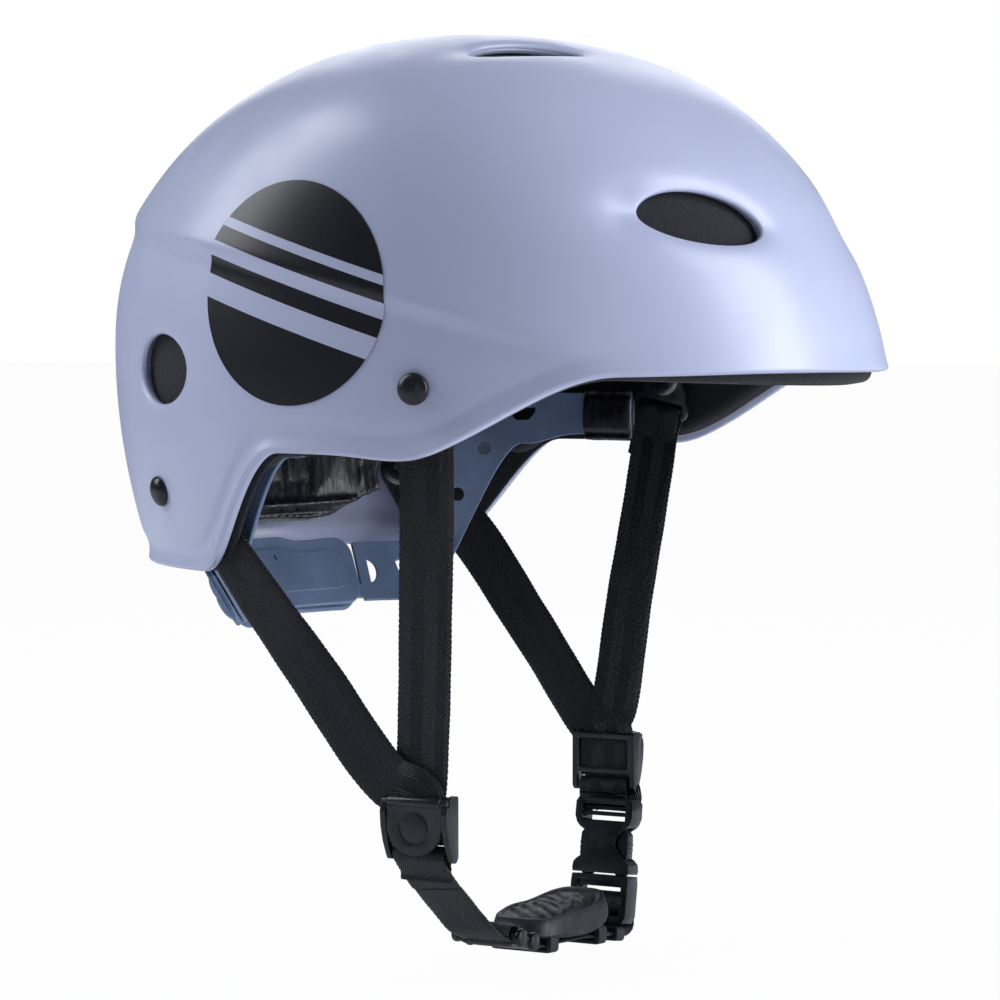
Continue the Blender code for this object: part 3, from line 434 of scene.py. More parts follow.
def crease_relief(azimuth, z):
    """Soft ridge above the crease, tucked band below it, fading out where it nears the brow."""
    share = (math.pi - np.abs(azimuth)) / (math.pi - CREASE_END)
    line = CREASE_REAR_Z - CREASE_FALL * np.clip(share, 0, 1.05) ** CREASE_POWER
    above = z - line
    fade = 1 - smoothstep((share - 0.86) / 0.16)
    soft = 1.5 * MM
    ridge = 1.3 * MM * np.exp(-(np.hypot(above, soft) - soft) / (13 * MM))
    under = soft * np.logaddexp(0, -above / soft)
    tuck = 2.6 * MM * (1 - np.exp(-(under / (4.0 * MM)) ** 2)) * np.exp(-under / (26 * MM))
    return (ridge - tuck) * fade


def vent_relief(points):
    """Every vent turns in at its edge; the front vents also have a shallow dish behind them."""
    relief = np.zeros(len(points))
    for name, (matrix, half_length, half_height) in VENT_FRAMES.items():
        local = (points - np.array(matrix.translation)) @ np.array(matrix.to_3x3())
        along, across = local[:, 0], local[:, 1]
        near = np.abs(local[:, 2]) < 25 * MM
        ratio = np.hypot(along / half_length, across / half_height)
        beyond = np.clip(ratio - 1, 0, None) * half_height
        turn_in = 1.5 * MM * np.exp(-(beyond / (1.7 * MM)) ** 1.3)
        turn_in += 0.7 * MM * np.exp(-(beyond / (6 * MM)) ** 2)
        if name.startswith("front"):
            dish = ((along + half_length + 5 * MM) / (8 * MM)) ** 2 + (across / (8 * MM)) ** 2
            turn_in = turn_in + 1.3 * MM * np.exp(-dish)
        relief -= np.where(near & (ratio < 4), turn_in, 0)
    return relief


def shell_surface(layout):
    """Outer surface with its crease, its vent edges and the flared lip round the rim."""
    base = dome(layout)
    normal = surface_normals(dome, layout, 1e-4)
    azimuth = np.arctan2(layout[:, 1], layout[:, 0])
    up = rim_distance(layout, shell_rim)
    near_rim = smoothstep(up / (14 * MM))
    lip = 0.9 * MM * np.exp(-(up / (2.4 * MM)) ** 2) - 0.8 * MM * np.exp(-((up - 6.5 * MM) / (3.4 * MM)) ** 2)
    lip *= 1 - 0.85 * smoothstep((base[:, 0] - 45 * MM) / (55 * MM))
    relief = crease_relief(azimuth, base[:, 2]) * near_rim + vent_relief(base) + lip
    return base + normal * relief[:, None]


def rim_loop(rim, back, count):
    """Counter-clockwise layout loop that stays a distance up from a rim."""
    azimuth = np.linspace(-math.pi, math.pi, count, endpoint=False)
    return polar(azimuth, rim_angle(azimuth, rim) - back / rim_scale(azimuth, rim))


def build_shell():
    outline = rim_loop(shell_rim, EDGE_ROUND, 520)
    rows = [rim_loop(shell_rim, EDGE_ROUND + up * MM, 520) for up in (1.0, 2.1, 3.4, 4.9, 6.6)]
    holes, extra = [], list(np.concatenate(rows))
    for matrix, half_length, half_height in VENT_FRAMES.values():
        for index, grow in enumerate((0, 0.7, 1.5, 2.5, 3.8, 5.4)):
            size = EDGE_ROUND + grow * MM
            loop = project(matrix, ellipse(half_length + size, half_height + size, 110, index == 0))
            if index == 0:
                holes.append(loop)
            else:
                extra += list(loop)
    mesh = sheet("shell", outline, holes, 0.0185, shell_surface, SHELL_WALL, EDGE_ROUND, extra, 2e-4)
    add_object("shell", mesh, "helmet", "white_abs", ["outer_shell"])


def liner_surface(layout):
    return dome(layout) - surface_normals(dome, layout, 1e-4) * (SHELL_WALL + LINER_GAP)


def build_liner():
    outline = rim_loop(liner_rim, 3.5 * MM, 260)
    mesh = sheet("liner", outline, [], 0.042, liner_surface, LINER_WALL, 3.5 * MM, (), 2e-4)
    add_object("liner", mesh, "helmet", "black_eva", ["foam_liner"])


# Painted shade: a thin black strip with the foam finish, laid inside the rim behind each ear where the rim's
# inside falls in shade
PAINTED_SHADE_TURNS = (math.radians(97), math.radians(131))
PAINTED_SHADE_UP = -1.8 * MM
PAINTED_SHADE_WIDTHS = (26 * MM, 8 * MM)


def build_painted_shade_strip():
    """Thin black strip inside the rim behind each ear, narrowing towards the nape: painted shade for the shaded
    inside of the rim.
    """
    widths = np.linspace(*PAINTED_SHADE_WIDTHS, 40)
    for side, word in SIDES:
        azimuth = np.linspace(*PAINTED_SHADE_TURNS, 40) * side
        end = rim_angle(azimuth, shell_rim)
        scale = rim_scale(azimuth, shell_rim)
        lower = polar(azimuth, end - PAINTED_SHADE_UP / scale)
        upper = polar(azimuth, end - (PAINTED_SHADE_UP + widths) / scale)
        outline = np.concatenate([lower, upper[::-1]] if side > 0 else [lower[::-1], upper])
        # painted shade strip, given the black foam finish
        mesh = sheet(f"painted_shade_strip_{word}", outline, [], 0.03, liner_surface, 1.6 * MM, 0.6 * MM, (), 2e-4)
        add_object(f"painted_shade_strip_{word}", mesh, "helmet", "black_eva")


# ---------------------------------------------------------------- materials

WHITE = (0.565, 0.61, 0.825)
# Pitches of the weave in millimetres
HERRINGBONE = 4.5
TWILL_PITCH = 1.35
WARP_PITCH = 0.62
WEFT_PITCH = 0.75
# Middle and half width of each bar, for a disc of radius 1
DECAL_BARS = ((0.42, 0.045), (0.14, 0.075), (-0.22, 0.11))


def new_material(name, colour, roughness, metallic=0.0):
    """Principled material.  Returns the material, its node tree and its shader."""
    material = bpy.data.materials.new(name)
    material.use_nodes = True
    tree = material.node_tree
    shader = tree.nodes["Principled BSDF"]
    shader.inputs["Base Color"].default_value = (*colour, 1)
    shader.inputs["Roughness"].default_value = roughness
    shader.inputs["Metallic"].default_value = metallic
    return material, tree, shader


def node(tree, kind, settings=None, inputs=None):
    """Add a node; inputs maps a socket name or number to a value or to another node's output."""
    made = tree.nodes.new(kind)
    for key, value in (settings or {}).items():
        setattr(made, key, value)
    for key, value in (inputs or {}).items():
        if isinstance(value, bpy.types.NodeSocket):
            tree.links.new(value, made.inputs[key])
        else:
            made.inputs[key].default_value = value
    return made


def math_node(tree, operation, first, second=0.0):
    return node(tree, "ShaderNodeMath", {"operation": operation}, {0: first, 1: second}).outputs[0]


def wave(tree, value, pitch, low=0.0, high=1.0):
    """Sine wave of a pitch along a value, between two levels."""
    turns = math_node(tree, "MULTIPLY", value, 2 * math.pi / pitch)
    return ranged(tree, math_node(tree, "SINE", turns), low, high, -1, 1)


def coordinates(tree, scale=(1, 1, 1)):
    """Object coordinates in metres."""
    place = tree.nodes.new("ShaderNodeTexCoord").outputs["Object"]
    return node(tree, "ShaderNodeMapping", None, {"Vector": place, "Scale": scale}).outputs[0]


def feed(shader, name, value):
    """Link a node output to one of the shader's inputs."""
    shader.id_data.links.new(value, shader.inputs[name])


def tinted(colour, scale, lift=0.0):
    return tuple(min(1, value * scale + lift) for value in colour)


def cell_distance(tree, scale):
    """Distance to the nearest cell centre of a fine pebble grain."""
    inputs = {"Vector": coordinates(tree), "Scale": scale}
    return node(tree, "ShaderNodeTexVoronoi", None, inputs).outputs["Distance"]


def noise(tree, where, scale, detail=3.0, roughness=0.55):
    inputs = {"Vector": where, "Scale": scale, "Detail": detail, "Roughness": roughness}
    return node(tree, "ShaderNodeTexNoise", None, inputs).outputs["Fac"]


def ranged(tree, value, low, high, from_low=0.35, from_high=0.65):
    inputs = {"Value": value, "From Min": from_low, "From Max": from_high, "To Min": low, "To Max": high}
    return node(tree, "ShaderNodeMapRange", None, inputs).outputs[0]


def mixed(tree, factor, first, second):
    """Blend two colours, or two colour outputs, by a factor."""
    made = node(tree, "ShaderNodeMix", {"data_type": "RGBA"}, {"Factor": factor})
    for key, value in (("A", first), ("B", second)):
        socket = next(s for s in made.inputs if s.name == key and s.type == "RGBA")
        if isinstance(value, bpy.types.NodeSocket):
            tree.links.new(value, socket)
        else:
            socket.default_value = (*value, 1)
    return next(s for s in made.outputs if s.type == "RGBA")


def bump(tree, shader, height, strength, distance):
    """Stack a bump on the shader's normal."""
    inputs = {"Height": height, "Strength": strength, "Distance": distance}
    made = node(tree, "ShaderNodeBump", None, inputs)
    if shader.inputs["Normal"].is_linked:
        tree.links.new(shader.inputs["Normal"].links[0].from_socket, made.inputs["Normal"])
    feed(shader, "Normal", made.outputs[0])


def worn_edges(tree, amount=0.5):
    """Factor that rises on convex edges, broken up by noise."""
    point = node(tree, "ShaderNodeNewGeometry").outputs["Pointiness"]
    sharp = ranged(tree, point, 0, amount, 0.52, 0.60)
    return math_node(tree, "MULTIPLY", sharp, noise(tree, coordinates(tree), 400, 2))


def abs_material():
    """Bluish-white satin ABS: faint mottling, orange peel and hairline handling marks."""
    material, tree, shader = new_material("white_abs_shell", WHITE, 0.36)
    where = coordinates(tree)
    cloud = noise(tree, where, 14, 4)
    colour = mixed(tree, ranged(tree, cloud, 0, 1), WHITE, tinted(WHITE, 0.955))
    scuffs = noise(tree, coordinates(tree, (1, 1, 7)), 160, 5, 0.7)
    marks = ranged(tree, scuffs, 0, 0.35, 0.62, 0.72)
    colour = mixed(tree, marks, colour, tinted(WHITE, 0.9))
    feed(shader, "Base Color", colour)
    rough = ranged(tree, noise(tree, where, 60, 5), 0.30, 0.42)
    feed(shader, "Roughness", rough)
    shader.inputs["Coat Weight"].default_value = 0.25
    shader.inputs["Coat Roughness"].default_value = 0.22
    shader.inputs["Subsurface Weight"].default_value = 0.04
    shader.inputs["Subsurface Radius"].default_value = (0.003, 0.003, 0.004)
    bump(tree, shader, noise(tree, where, 420, 2), 0.05, 0.0002)
    bump(tree, shader, noise(tree, where, 1900, 2), 0.04, 0.00005)
    return material


def moulded_material(name, colour, roughness):
    """Injection-moulded plastic: spark-eroded grain, flow mottling and slightly worn edges."""
    material, tree, shader = new_material(name, colour, roughness)
    where = coordinates(tree)
    flow = ranged(tree, noise(tree, where, 55, 4), 0, 0.8)
    base = mixed(tree, flow, colour, tinted(colour, 1.35, 0.004))
    base = mixed(tree, worn_edges(tree), base, tinted(colour, 2.1, 0.02))
    feed(shader, "Base Color", base)
    spots = ranged(tree, noise(tree, where, 210, 3), roughness - 0.07, roughness + 0.09)
    feed(shader, "Roughness", spots)
    bump(tree, shader, noise(tree, where, 1400, 3, 0.7), 0.16, 0.00012)
    bump(tree, shader, noise(tree, where, 90, 2), 0.05, 0.0004)
    return material


def rubber_material():
    """Dull moulded rubber with a fine pebbled skin and dusty high spots."""
    material, tree, shader = new_material("chin_rubber", (0.012, 0.012, 0.017), 0.55)
    where = coordinates(tree)
    dust = ranged(tree, noise(tree, where, 130, 5, 0.7), 0, 0.7, 0.45, 0.75)
    colour = mixed(tree, dust, (0.010, 0.010, 0.015), (0.035, 0.036, 0.048))
    feed(shader, "Base Color", mixed(tree, worn_edges(tree), colour, (0.07, 0.07, 0.09)))
    feed(shader, "Roughness", ranged(tree, noise(tree, where, 300, 3), 0.42, 0.62))
    cells = cell_distance(tree, 1500.0)
    bump(tree, shader, cells, 0.2, 0.0002)
    return material


def foam_material():
    """Closed-cell EVA: matt black with open skin cells and faint cutting marks."""
    material, tree, shader = new_material("liner_foam", (0.018, 0.018, 0.024), 0.85)
    where = coordinates(tree)
    cells = cell_distance(tree, 900.0)
    colour = mixed(tree, ranged(tree, cells, 0, 1, 0.1, 0.6), (0.004, 0.004, 0.006), (0.014, 0.014, 0.019))
    patch = ranged(tree, noise(tree, where, 40, 4), 0, 0.5)
    feed(shader, "Base Color", mixed(tree, patch, colour, (0.011, 0.012, 0.017)))
    shader.inputs["Sheen Weight"].default_value = 0.06
    bump(tree, shader, cells, 0.5, 0.0004)
    bump(tree, shader, noise(tree, coordinates(tree, (1, 1, 0.15)), 220, 3), 0.25, 0.0006)
    return material


def leather_material():
    """Thin black leatherette: pebble grain, and creases drawn up and down the pad."""
    material, tree, shader = new_material("pad_leather", (0.016, 0.016, 0.022), 0.42)
    grain = cell_distance(tree, 1150.0)
    long_folds = noise(tree, coordinates(tree, (1, 1, 0.10)), 520, 4, 0.62)
    soft_folds = noise(tree, coordinates(tree, (1, 1, 0.10)), 170, 3, 0.5)
    worn = ranged(tree, long_folds, 0, 1, 0.42, 0.70)
    colour = mixed(tree, worn, (0.008, 0.008, 0.012), (0.022, 0.023, 0.032))
    feed(shader, "Base Color", colour)
    feed(shader, "Roughness", ranged(tree, long_folds, 0.26, 0.40))
    bump(tree, shader, soft_folds, 0.5, 0.0012)
    bump(tree, shader, long_folds, 0.4, 0.0004)
    bump(tree, shader, grain, 0.15, 0.0002)
    return material


def webbing_material():
    """Polyester herringbone webbing.  Its UVs are millimetres: X across the strap, Y along it."""
    material, tree, shader = new_material("harness_webbing", (0.012, 0.012, 0.017), 0.5)
    uv = tree.nodes.new("ShaderNodeTexCoord").outputs["UV"]
    parts = node(tree, "ShaderNodeSeparateXYZ", None, {0: uv})
    across, along = parts.outputs["X"], parts.outputs["Y"]
    wobble = math_node(tree, "MULTIPLY", noise(tree, uv, 0.7, 2), 0.5)
    zigzag = math_node(tree, "PINGPONG", across, HERRINGBONE)
    slanted = math_node(tree, "ADD", along, math_node(tree, "MULTIPLY", zigzag, 1.7))
    slanted = math_node(tree, "ADD", slanted, wobble)
    rib = wave(tree, slanted, TWILL_PITCH)
    warp = wave(tree, across, WARP_PITCH)
    thread = math_node(tree, "MULTIPLY", warp, wave(tree, along, WEFT_PITCH, 0.4))
    height = math_node(tree, "ADD", rib, math_node(tree, "MULTIPLY", thread, 0.08))
    tone = math_node(tree, "MULTIPLY", rib, ranged(tree, noise(tree, uv, 1.3, 4), 0.25, 1.0))
    colour = mixed(tree, tone, (0.0015, 0.0015, 0.0025), (0.030, 0.031, 0.044))
    feed(shader, "Base Color", colour)
    feed(shader, "Roughness", ranged(tree, rib, 0.62, 0.36, 0, 1))
    shader.inputs["Sheen Weight"].default_value = 0.06
    shader.inputs["Specular IOR Level"].default_value = 0.35
    bump(tree, shader, height, 0.85, 0.0004)
    return material


def thread_material():
    """Twisted polyester sewing thread."""
    material, tree, shader = new_material("sewing_thread", (0.03, 0.03, 0.04), 0.45)
    wave_inputs = {"Vector": coordinates(tree), "Scale": 900.0}
    twist = node(tree, "ShaderNodeTexWave", None, wave_inputs).outputs["Fac"]
    feed(shader, "Base Color", mixed(tree, twist, (0.016, 0.016, 0.022), (0.06, 0.06, 0.08)))
    bump(tree, shader, twist, 0.5, 0.0002)
    return material


def metal_material(name, colour, roughness):
    """Blackened or bright steel with fine drawn scratches and rubbed edges."""
    material, tree, shader = new_material(name, colour, roughness, 1.0)
    where = coordinates(tree)
    scratches = noise(tree, coordinates(tree, (1, 9, 1)), 900, 3, 0.7)
    feed(shader, "Roughness", ranged(tree, scratches, roughness - 0.08, roughness + 0.12))
    rubbed = mixed(tree, worn_edges(tree, 0.9), colour, tinted(colour, 1.9, 0.12))
    tarnish = ranged(tree, noise(tree, where, 260, 4), 0, 0.4)
    feed(shader, "Base Color", mixed(tree, tarnish, rubbed, tinted(colour, 0.6)))
    bump(tree, shader, scratches, 0.12, 0.0001)
    return material


def decal_material():
    """Black vinyl disc with plain slanted bars, drawn from the disc's own X and Y."""
    material, tree, shader = new_material("side_decal", (0.006, 0.006, 0.010), 0.3)
    place = node(tree, "ShaderNodeTexCoord").outputs["UV"]
    parts = node(tree, "ShaderNodeSeparateXYZ", None, {0: place})
    turned = math_node(tree, "ADD", parts.outputs["Y"], math_node(tree, "MULTIPLY", parts.outputs["X"], 0.32))
    light = None
    for centre, half in DECAL_BARS:
        distance = math_node(tree, "ABSOLUTE", math_node(tree, "SUBTRACT", turned, centre))
        bar = math_node(tree, "LESS_THAN", distance, half)
        light = bar if light is None else math_node(tree, "MAXIMUM", light, bar)
    colour = mixed(tree, light, (0.006, 0.006, 0.010), tinted(WHITE, 0.97))
    speck = ranged(tree, noise(tree, coordinates(tree), 1600, 3, 0.7), 0, 0.12, 0.66, 0.80)
    feed(shader, "Base Color", mixed(tree, speck, colour, (0.09, 0.09, 0.12)))
    feed(shader, "Roughness", ranged(tree, noise(tree, coordinates(tree), 900, 2), 0.30, 0.34))
    bump(tree, shader, noise(tree, coordinates(tree), 600, 2), 0.05, 0.0001)
    return material


# ---------------------------------------------------------------- side decals

DECAL_PLACE = Vector((-19.6, 110, -64.5)) * MM
DECAL_RADIUS = 35.5 * MM
DECAL_LIFT = 0.28 * MM
DECAL_RINGS, DECAL_SPOKES = 24, 120


def build_decals():
    """Thin vinyl disc on each side of the shell."""
    for side, word in SIDES:
        spot = layout_at(Vector((DECAL_PLACE.x, DECAL_PLACE.y * side, DECAL_PLACE.z)))
        normal = surface_normals(dome, spot, 1e-4)[0]
        matrix = facing(normal, (1, 0, 0), dome(spot)[0])
        radii = [DECAL_RADIUS * k / DECAL_RINGS for k in range(1, DECAL_RINGS + 1)]
        rings = [project(matrix, ellipse(radius, radius, DECAL_SPOKES)) for radius in radii]
        layout = np.concatenate([project(matrix, np.zeros((1, 2))), *rings])
        normals = surface_normals(shell_surface, layout, 2e-4)
        top = shell_surface(layout) + normals * DECAL_LIFT
        numbers = [1 + ring * DECAL_SPOKES + np.arange(DECAL_SPOKES) for ring in range(DECAL_RINGS)]
        faces = [(0, 1 + i, 1 + (i + 1) % DECAL_SPOKES) for i in range(DECAL_SPOKES)]
        for first, second in zip(numbers, numbers[1:]):
            faces += strip_faces(first, second)
        mesh = mesh_of(f"decal_{word}", top, faces, normals)
        local = (top - np.array(matrix.translation)) @ np.array(matrix.to_3x3())
        uv = mesh.uv_layers.new(name="decal")
        for loop in mesh.loops:
            x, y = local[loop.vertex_index][:2] / DECAL_RADIUS
            uv.data[loop.index].uv = (-x * side, y)
        add_object(f"decal_{word}", mesh, "helmet", "white_abs", finish="decal")


# ---------------------------------------------------------------- frames of the harness, from the CAD frame

JOINTS = {joint["name"]: joint for joint in frame["joints"]}
LINED_DEPTH = LINER_INSIDE + 4.8 * MM
UNLINED_DEPTH = SHELL_WALL + 4.8 * MM
HANGER_BAR = 12.2 * MM
FRONT_HANGER_LEAN = math.radians(-11)
REAR_HANGER_LEAN = math.radians(50)
INNER_LAYER, OUTER_LAYER = 2.1 * MM, 4.2 * MM
DIVIDER_HEIGHT, DIVIDER_PLATE = 20 * MM, 1.4 * MM
REAR_STRAP_BEND = Vector((-56, 83.5, -150)) * MM
PIVOT = Vector(JOINTS["chin_swing"]["pos_m"])
UPRIGHT = Matrix.Rotation(math.pi / 2, 4, "X")


def anchor_frame(name, side):
    """On the shell's outside at a rivet: local Z outward, local Y up the strap hanger."""
    spot = layout_at(centre_of(f"rivet_{name}"))
    normal = Vector(surface_normals(dome, spot, 1e-4)[0])
    level = facing(normal, Vector((0, 0, 1)).cross(normal), dome(spot)[0])
    lean = REAR_HANGER_LEAN if name.startswith("rear") else FRONT_HANGER_LEAN
    return level @ Matrix.Rotation(-side * lean, 4, "Z")


def hanger_depth(name):
    return LINED_DEPTH if name.startswith("front") else UNLINED_DEPTH


def divider_frame(word, side):
    """Local X fore and aft, Y outward from the head, Z up, at the middle of the back plate."""
    low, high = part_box(f"divider_{word}")
    inner_face = high.y if side < 0 else low.y
    at = Vector(((low.x + high.x) / 2, inner_face + side * DIVIDER_PLATE / 2, high.z - DIVIDER_HEIGHT / 2))
    outward = Vector((0, side, 0))
    axes = Matrix((outward.cross(Vector((0, 0, 1))), outward, Vector((0, 0, 1)))).transposed()
    return Matrix.Translation(at) @ axes.to_4x4()


def buckle_frame():
    """Local X fore and aft, Z up the buckle; from the two prong hinges."""
    front, rear = JOINTS["prong_front_squeeze"], JOINTS["prong_rear_squeeze"]
    y = -Vector(front["axis"]).normalized()
    x = Vector((1, 0, 0))
    z = x.cross(y)
    root = (Vector(front["pos_m"]) + Vector(rear["pos_m"])) / 2
    return Matrix.Translation(root + z * 4.3 * MM) @ Matrix((x, y, z)).transposed().to_4x4()


# ---------------------------------------------------------------- webbing

SCALLOP_PITCH = 1.8 * MM
STITCH_PITCH = 1.7 * MM
STITCH_RADIUS = 0.2 * MM
BAR_RADIUS = 2.45 * MM


def smooth_rows(rows, step):
    """Catmull-Rom curve through control rows whose first three columns are a point."""
    rows = np.array(rows, float)
    rows = np.concatenate([[2 * rows[0] - rows[1]], rows, [2 * rows[-1] - rows[-2]]])
    out = []
    for a, b, c, d in zip(rows, rows[1:], rows[2:], rows[3:]):
        count = max(2, int(np.linalg.norm(c[:3] - b[:3]) / step))
        lengths = [max(1e-6, np.linalg.norm(q[:3] - p[:3])) ** 0.5 for p, q in ((a, b), (b, c), (c, d))]
        t0, t1 = 0.0, lengths[0]
        t2 = t1 + lengths[1]
        t3 = t2 + lengths[2]
        for t in np.linspace(t1, t2, count, endpoint=False):
            ab = (t1 - t) / (t1 - t0) * a + (t - t0) / (t1 - t0) * b
            bc = (t2 - t) / (t2 - t1) * b + (t - t1) / (t2 - t1) * c
            cd = (t3 - t) / (t3 - t2) * c + (t - t2) / (t3 - t2) * d
            abc = (t2 - t) / (t2 - t0) * ab + (t - t0) / (t2 - t0) * bc
            bcd = (t3 - t) / (t3 - t1) * bc + (t - t1) / (t3 - t1) * cd
            out.append((t2 - t) / (t2 - t1) * abc + (t - t1) / (t2 - t1) * bcd)
    out.append(rows[-2])
    return np.array(out)


def webbing_mesh(name, rows, width=WEBBING, columns=12, seed=0.0):
    """Closed ribbon with thick selvedges whose outer edge is scalloped by the weft turning round."""
    path = smooth_rows(rows, 0.6 * MM)
    centre = path[:, :3]
    tangent = unit(np.gradient(centre, axis=0))
    across = path[:, 3:6]
    across = unit(across - np.sum(across * tangent, axis=1, keepdims=True) * tangent)
    normal = np.cross(tangent, across)
    normal *= np.sign(np.sum(normal * path[:, 6:9], axis=1, keepdims=True))
    length = np.concatenate([[0], np.cumsum(np.linalg.norm(np.diff(centre, axis=0), axis=1))])
    shares = np.sin(np.linspace(-1, 1, columns + 1) * math.pi / 2)
    scallop = np.where(np.abs(shares) > 0.97, 0.24 * MM, 0) * np.sign(shares)
    scallop = scallop * np.abs(np.sin(math.pi * length / SCALLOP_PITCH))[:, None]
    curl = 0.22 * MM * np.sin(length * 95 + seed)[:, None] * shares[None] ** 2
    curl = curl + 0.10 * MM * np.sin(length * 310 + seed * 2)[:, None] * shares[None]
    selvedge = 0.16 * np.exp(-((np.abs(shares) - 0.86) / 0.07) ** 2)
    half = WEB_THICK / 2 * (1 - 0.55 * np.abs(shares) ** 10 + selvedge)
    spread = shares[None] * width / 2 + scallop
    middle = centre[:, None] + across[:, None] * spread[..., None] + normal[:, None] * curl[..., None]
    top = middle + normal[:, None] * half[None, :, None]
    bottom = middle - normal[:, None] * half[None, :, None]
    ring = np.concatenate([top, bottom[:, ::-1]], axis=1)
    count = ring.shape[1]
    faces = []
    for i in range(len(ring) - 1):
        for j in range(count):
            k = (j + 1) % count
            faces.append((i * count + j, i * count + k, (i + 1) * count + k, (i + 1) * count + j))
    for start in (0, (len(ring) - 1) * count):
        for j in range(columns):
            faces.append((start + j, start + j + 1, start + count - 2 - j, start + count - 1 - j))
    mesh = mesh_of(name, ring.reshape(-1, 3), faces)
    uv = mesh.uv_layers.new(name="weave")
    xs = np.concatenate([shares, shares[::-1]]) * width / 2 / MM + 9
    for loop in mesh.loops:
        row, column = divmod(loop.vertex_index, count)
        uv.data[loop.index].uv = (xs[column], length[row] / MM)
    return shade(reworked(mesh, outward_faces), 50)


def row(point, across, normal):
    return (*point, *across, *normal)


def bar_turn(bar, tail):
    """Rows of a strap end: up behind the bar, over it and down in front, where it meets itself."""
    across, up, normal = (Vector(axis) for axis in bar.to_3x3().transposed())
    rows = []
    for down in (tail, tail * 0.55):
        rows.append(row(bar.translation - up * down - normal * 1.25 * MM, across, -normal))
    for k in range(7):
        angle = math.radians(-30 + 40 * k)
        away = up * math.sin(angle) - normal * math.cos(angle)
        rows.append(row(bar.translation + away * BAR_RADIUS, across, away))
    return rows


def stitches(name, matrix, width, height):
    """Box of thread stitches lying on a strap, in the local X, Y plane of a matrix."""
    corners = [(-1, -1), (1, -1), (1, 1), (-1, 1), (-1, -1), (1, 1)]
    bm = bmesh.new()
    for (x0, y0), (x1, y1) in zip(corners, corners[1:]):
        a = Vector((x0 * width / 2, y0 * height / 2, 0))
        b = Vector((x1 * width / 2, y1 * height / 2, 0))
        number = max(3, int((b - a).length / STITCH_PITCH))
        for k in range(number):
            start, end = a.lerp(b, (k + 0.15) / number), a.lerp(b, (k + 0.85) / number)
            turn = (end - start).to_track_quat("Z", "Y").to_matrix().to_4x4()
            place = Matrix.Translation((start + end) / 2) @ turn
            size = Matrix.Diagonal((STITCH_RADIUS, STITCH_RADIUS, (end - start).length / 2, 1))
            ball = matrix @ place @ size
            bmesh.ops.create_uvsphere(bm, u_segments=6, v_segments=6, radius=1, matrix=ball)
    mesh = mesh_from(bm, name)
    mesh.shade_smooth()
    add_object(name, mesh, "helmet", "black_webbing", finish="thread")


def hanger_bar(name, side):
    return anchor_frame(name, side) @ Matrix.Translation((0, -HANGER_BAR, -hanger_depth(name)))


def front_rows(word, side):
    """Front strap: from its hanger straight down to the divider, turning to face sideways."""
    bar = hanger_bar(f"front_{word}", side)
    across, up, normal = (Vector(axis) for axis in bar.to_3x3().transposed())
    out, forward = Vector((0, side, 0)), Vector((-side, 0, 0))
    goal = divider_frame(word, side).translation + Vector((0, 0, 3 * MM)) + out * INNER_LAYER
    start = bar.translation - up * 2.5 * MM
    half_turned = across.lerp(forward, 0.5)
    return bar_turn(bar, 17 * MM) + [
        row(bar.translation - up * 5 * MM + normal * 0.4 * MM, across, normal),
        row(start.lerp(goal, 0.15), across, normal),
        row(start.lerp(goal, 0.5) - out * 0.8 * MM, half_turned, (normal + out) / 2),
        row(goal.lerp(bar.translation, 0.12), across.lerp(forward, 0.9), out),
        row(goal + Vector((0, 0, 8.4 * MM)), forward, out),
        row(goal, forward, out),
    ]


def rear_rows(word, side):
    """Rear strap: round the shell's rear corner and forward to the divider."""
    bar = hanger_bar(f"rear_{word}", side)
    across, up, normal = (Vector(axis) for axis in bar.to_3x3().transposed())
    out, forward = Vector((0, side, 0)), Vector((-side, 0, 0))
    goal = divider_frame(word, side).translation + Vector((0, 0, 3 * MM)) + out * OUTER_LAYER
    bend = Vector((REAR_STRAP_BEND.x, REAR_STRAP_BEND.y * side, REAR_STRAP_BEND.z))
    lean = out.cross((goal - bend).normalized())
    return bar_turn(bar, 15 * MM) + [
        row(bar.translation - up * 5 * MM + normal * 0.4 * MM, across, normal),
        row((bar.translation - up * 2.5 * MM).lerp(bend, 0.5), across, normal),
        row(bend, across + lean, normal + out),
        row(bend.lerp(goal, 0.45) + out * 1.4 * MM, lean, out),
        row(bend.lerp(goal, 0.86) + out * 0.8 * MM, lean, out),
        row(goal + Vector((0, 0, 7 * MM)), forward * 0.8 + lean * 0.4, out),
        row(goal, forward, out),
    ]


def build_upper_straps():
    """Front and rear strap on each side, each sewn back on itself under its hanger."""
    for index, (side, word) in enumerate(SIDES):
        for end, rows, seed, seam, tall in (
            ("front", front_rows(word, side), index * 1.3, -11, 7),
            ("rear", rear_rows(word, side), 2 + index, -10.5, 6),
        ):
            name = f"{end}_webbing_{word}"
            mesh = webbing_mesh(name, rows, seed=seed)
            add_object(name, mesh, "helmet", "black_webbing", [f"{end}_strap_{word}"])
            sewn = hanger_bar(f"{end}_{word}", side) @ shift(0, seam, 0.75)
            stitches(f"{end}_stitch_{word}", sewn, 13 * MM, tall * MM)


def chin_points():
    frame_b = buckle_frame()
    local = [(0, 3, -25), (0, 7.2, -22.5), (0, 6.6, -18.6), (0, 3, -17.3), (0, -2.4, -17.0), (0, -4.0, -15.4)]
    local += [(0, -4.0, -13.2), (0, -2, -11.4), (0, 3, -11.0)]
    free = [(17, -64, -265), (20.4, -56, -273), (20.5, -31, -280.5), (20.5, -3, -283), (20.5, 25, -285.5)]
    path = [PIVOT + Vector((0, 1.5, -2.6)) * MM]
    path += [Vector(point) * MM for point in free]
    return path + [frame_b @ (Vector(point) * MM) for point in local]


def path_rows(path):
    rows = []
    for i, point in enumerate(path):
        along = (path[min(len(path) - 1, i + 1)] - path[max(0, i - 1)]).normalized()
        rows.append(row(point, (1, 0, 0), Vector((1, 0, 0)).cross(along)))
    return rows


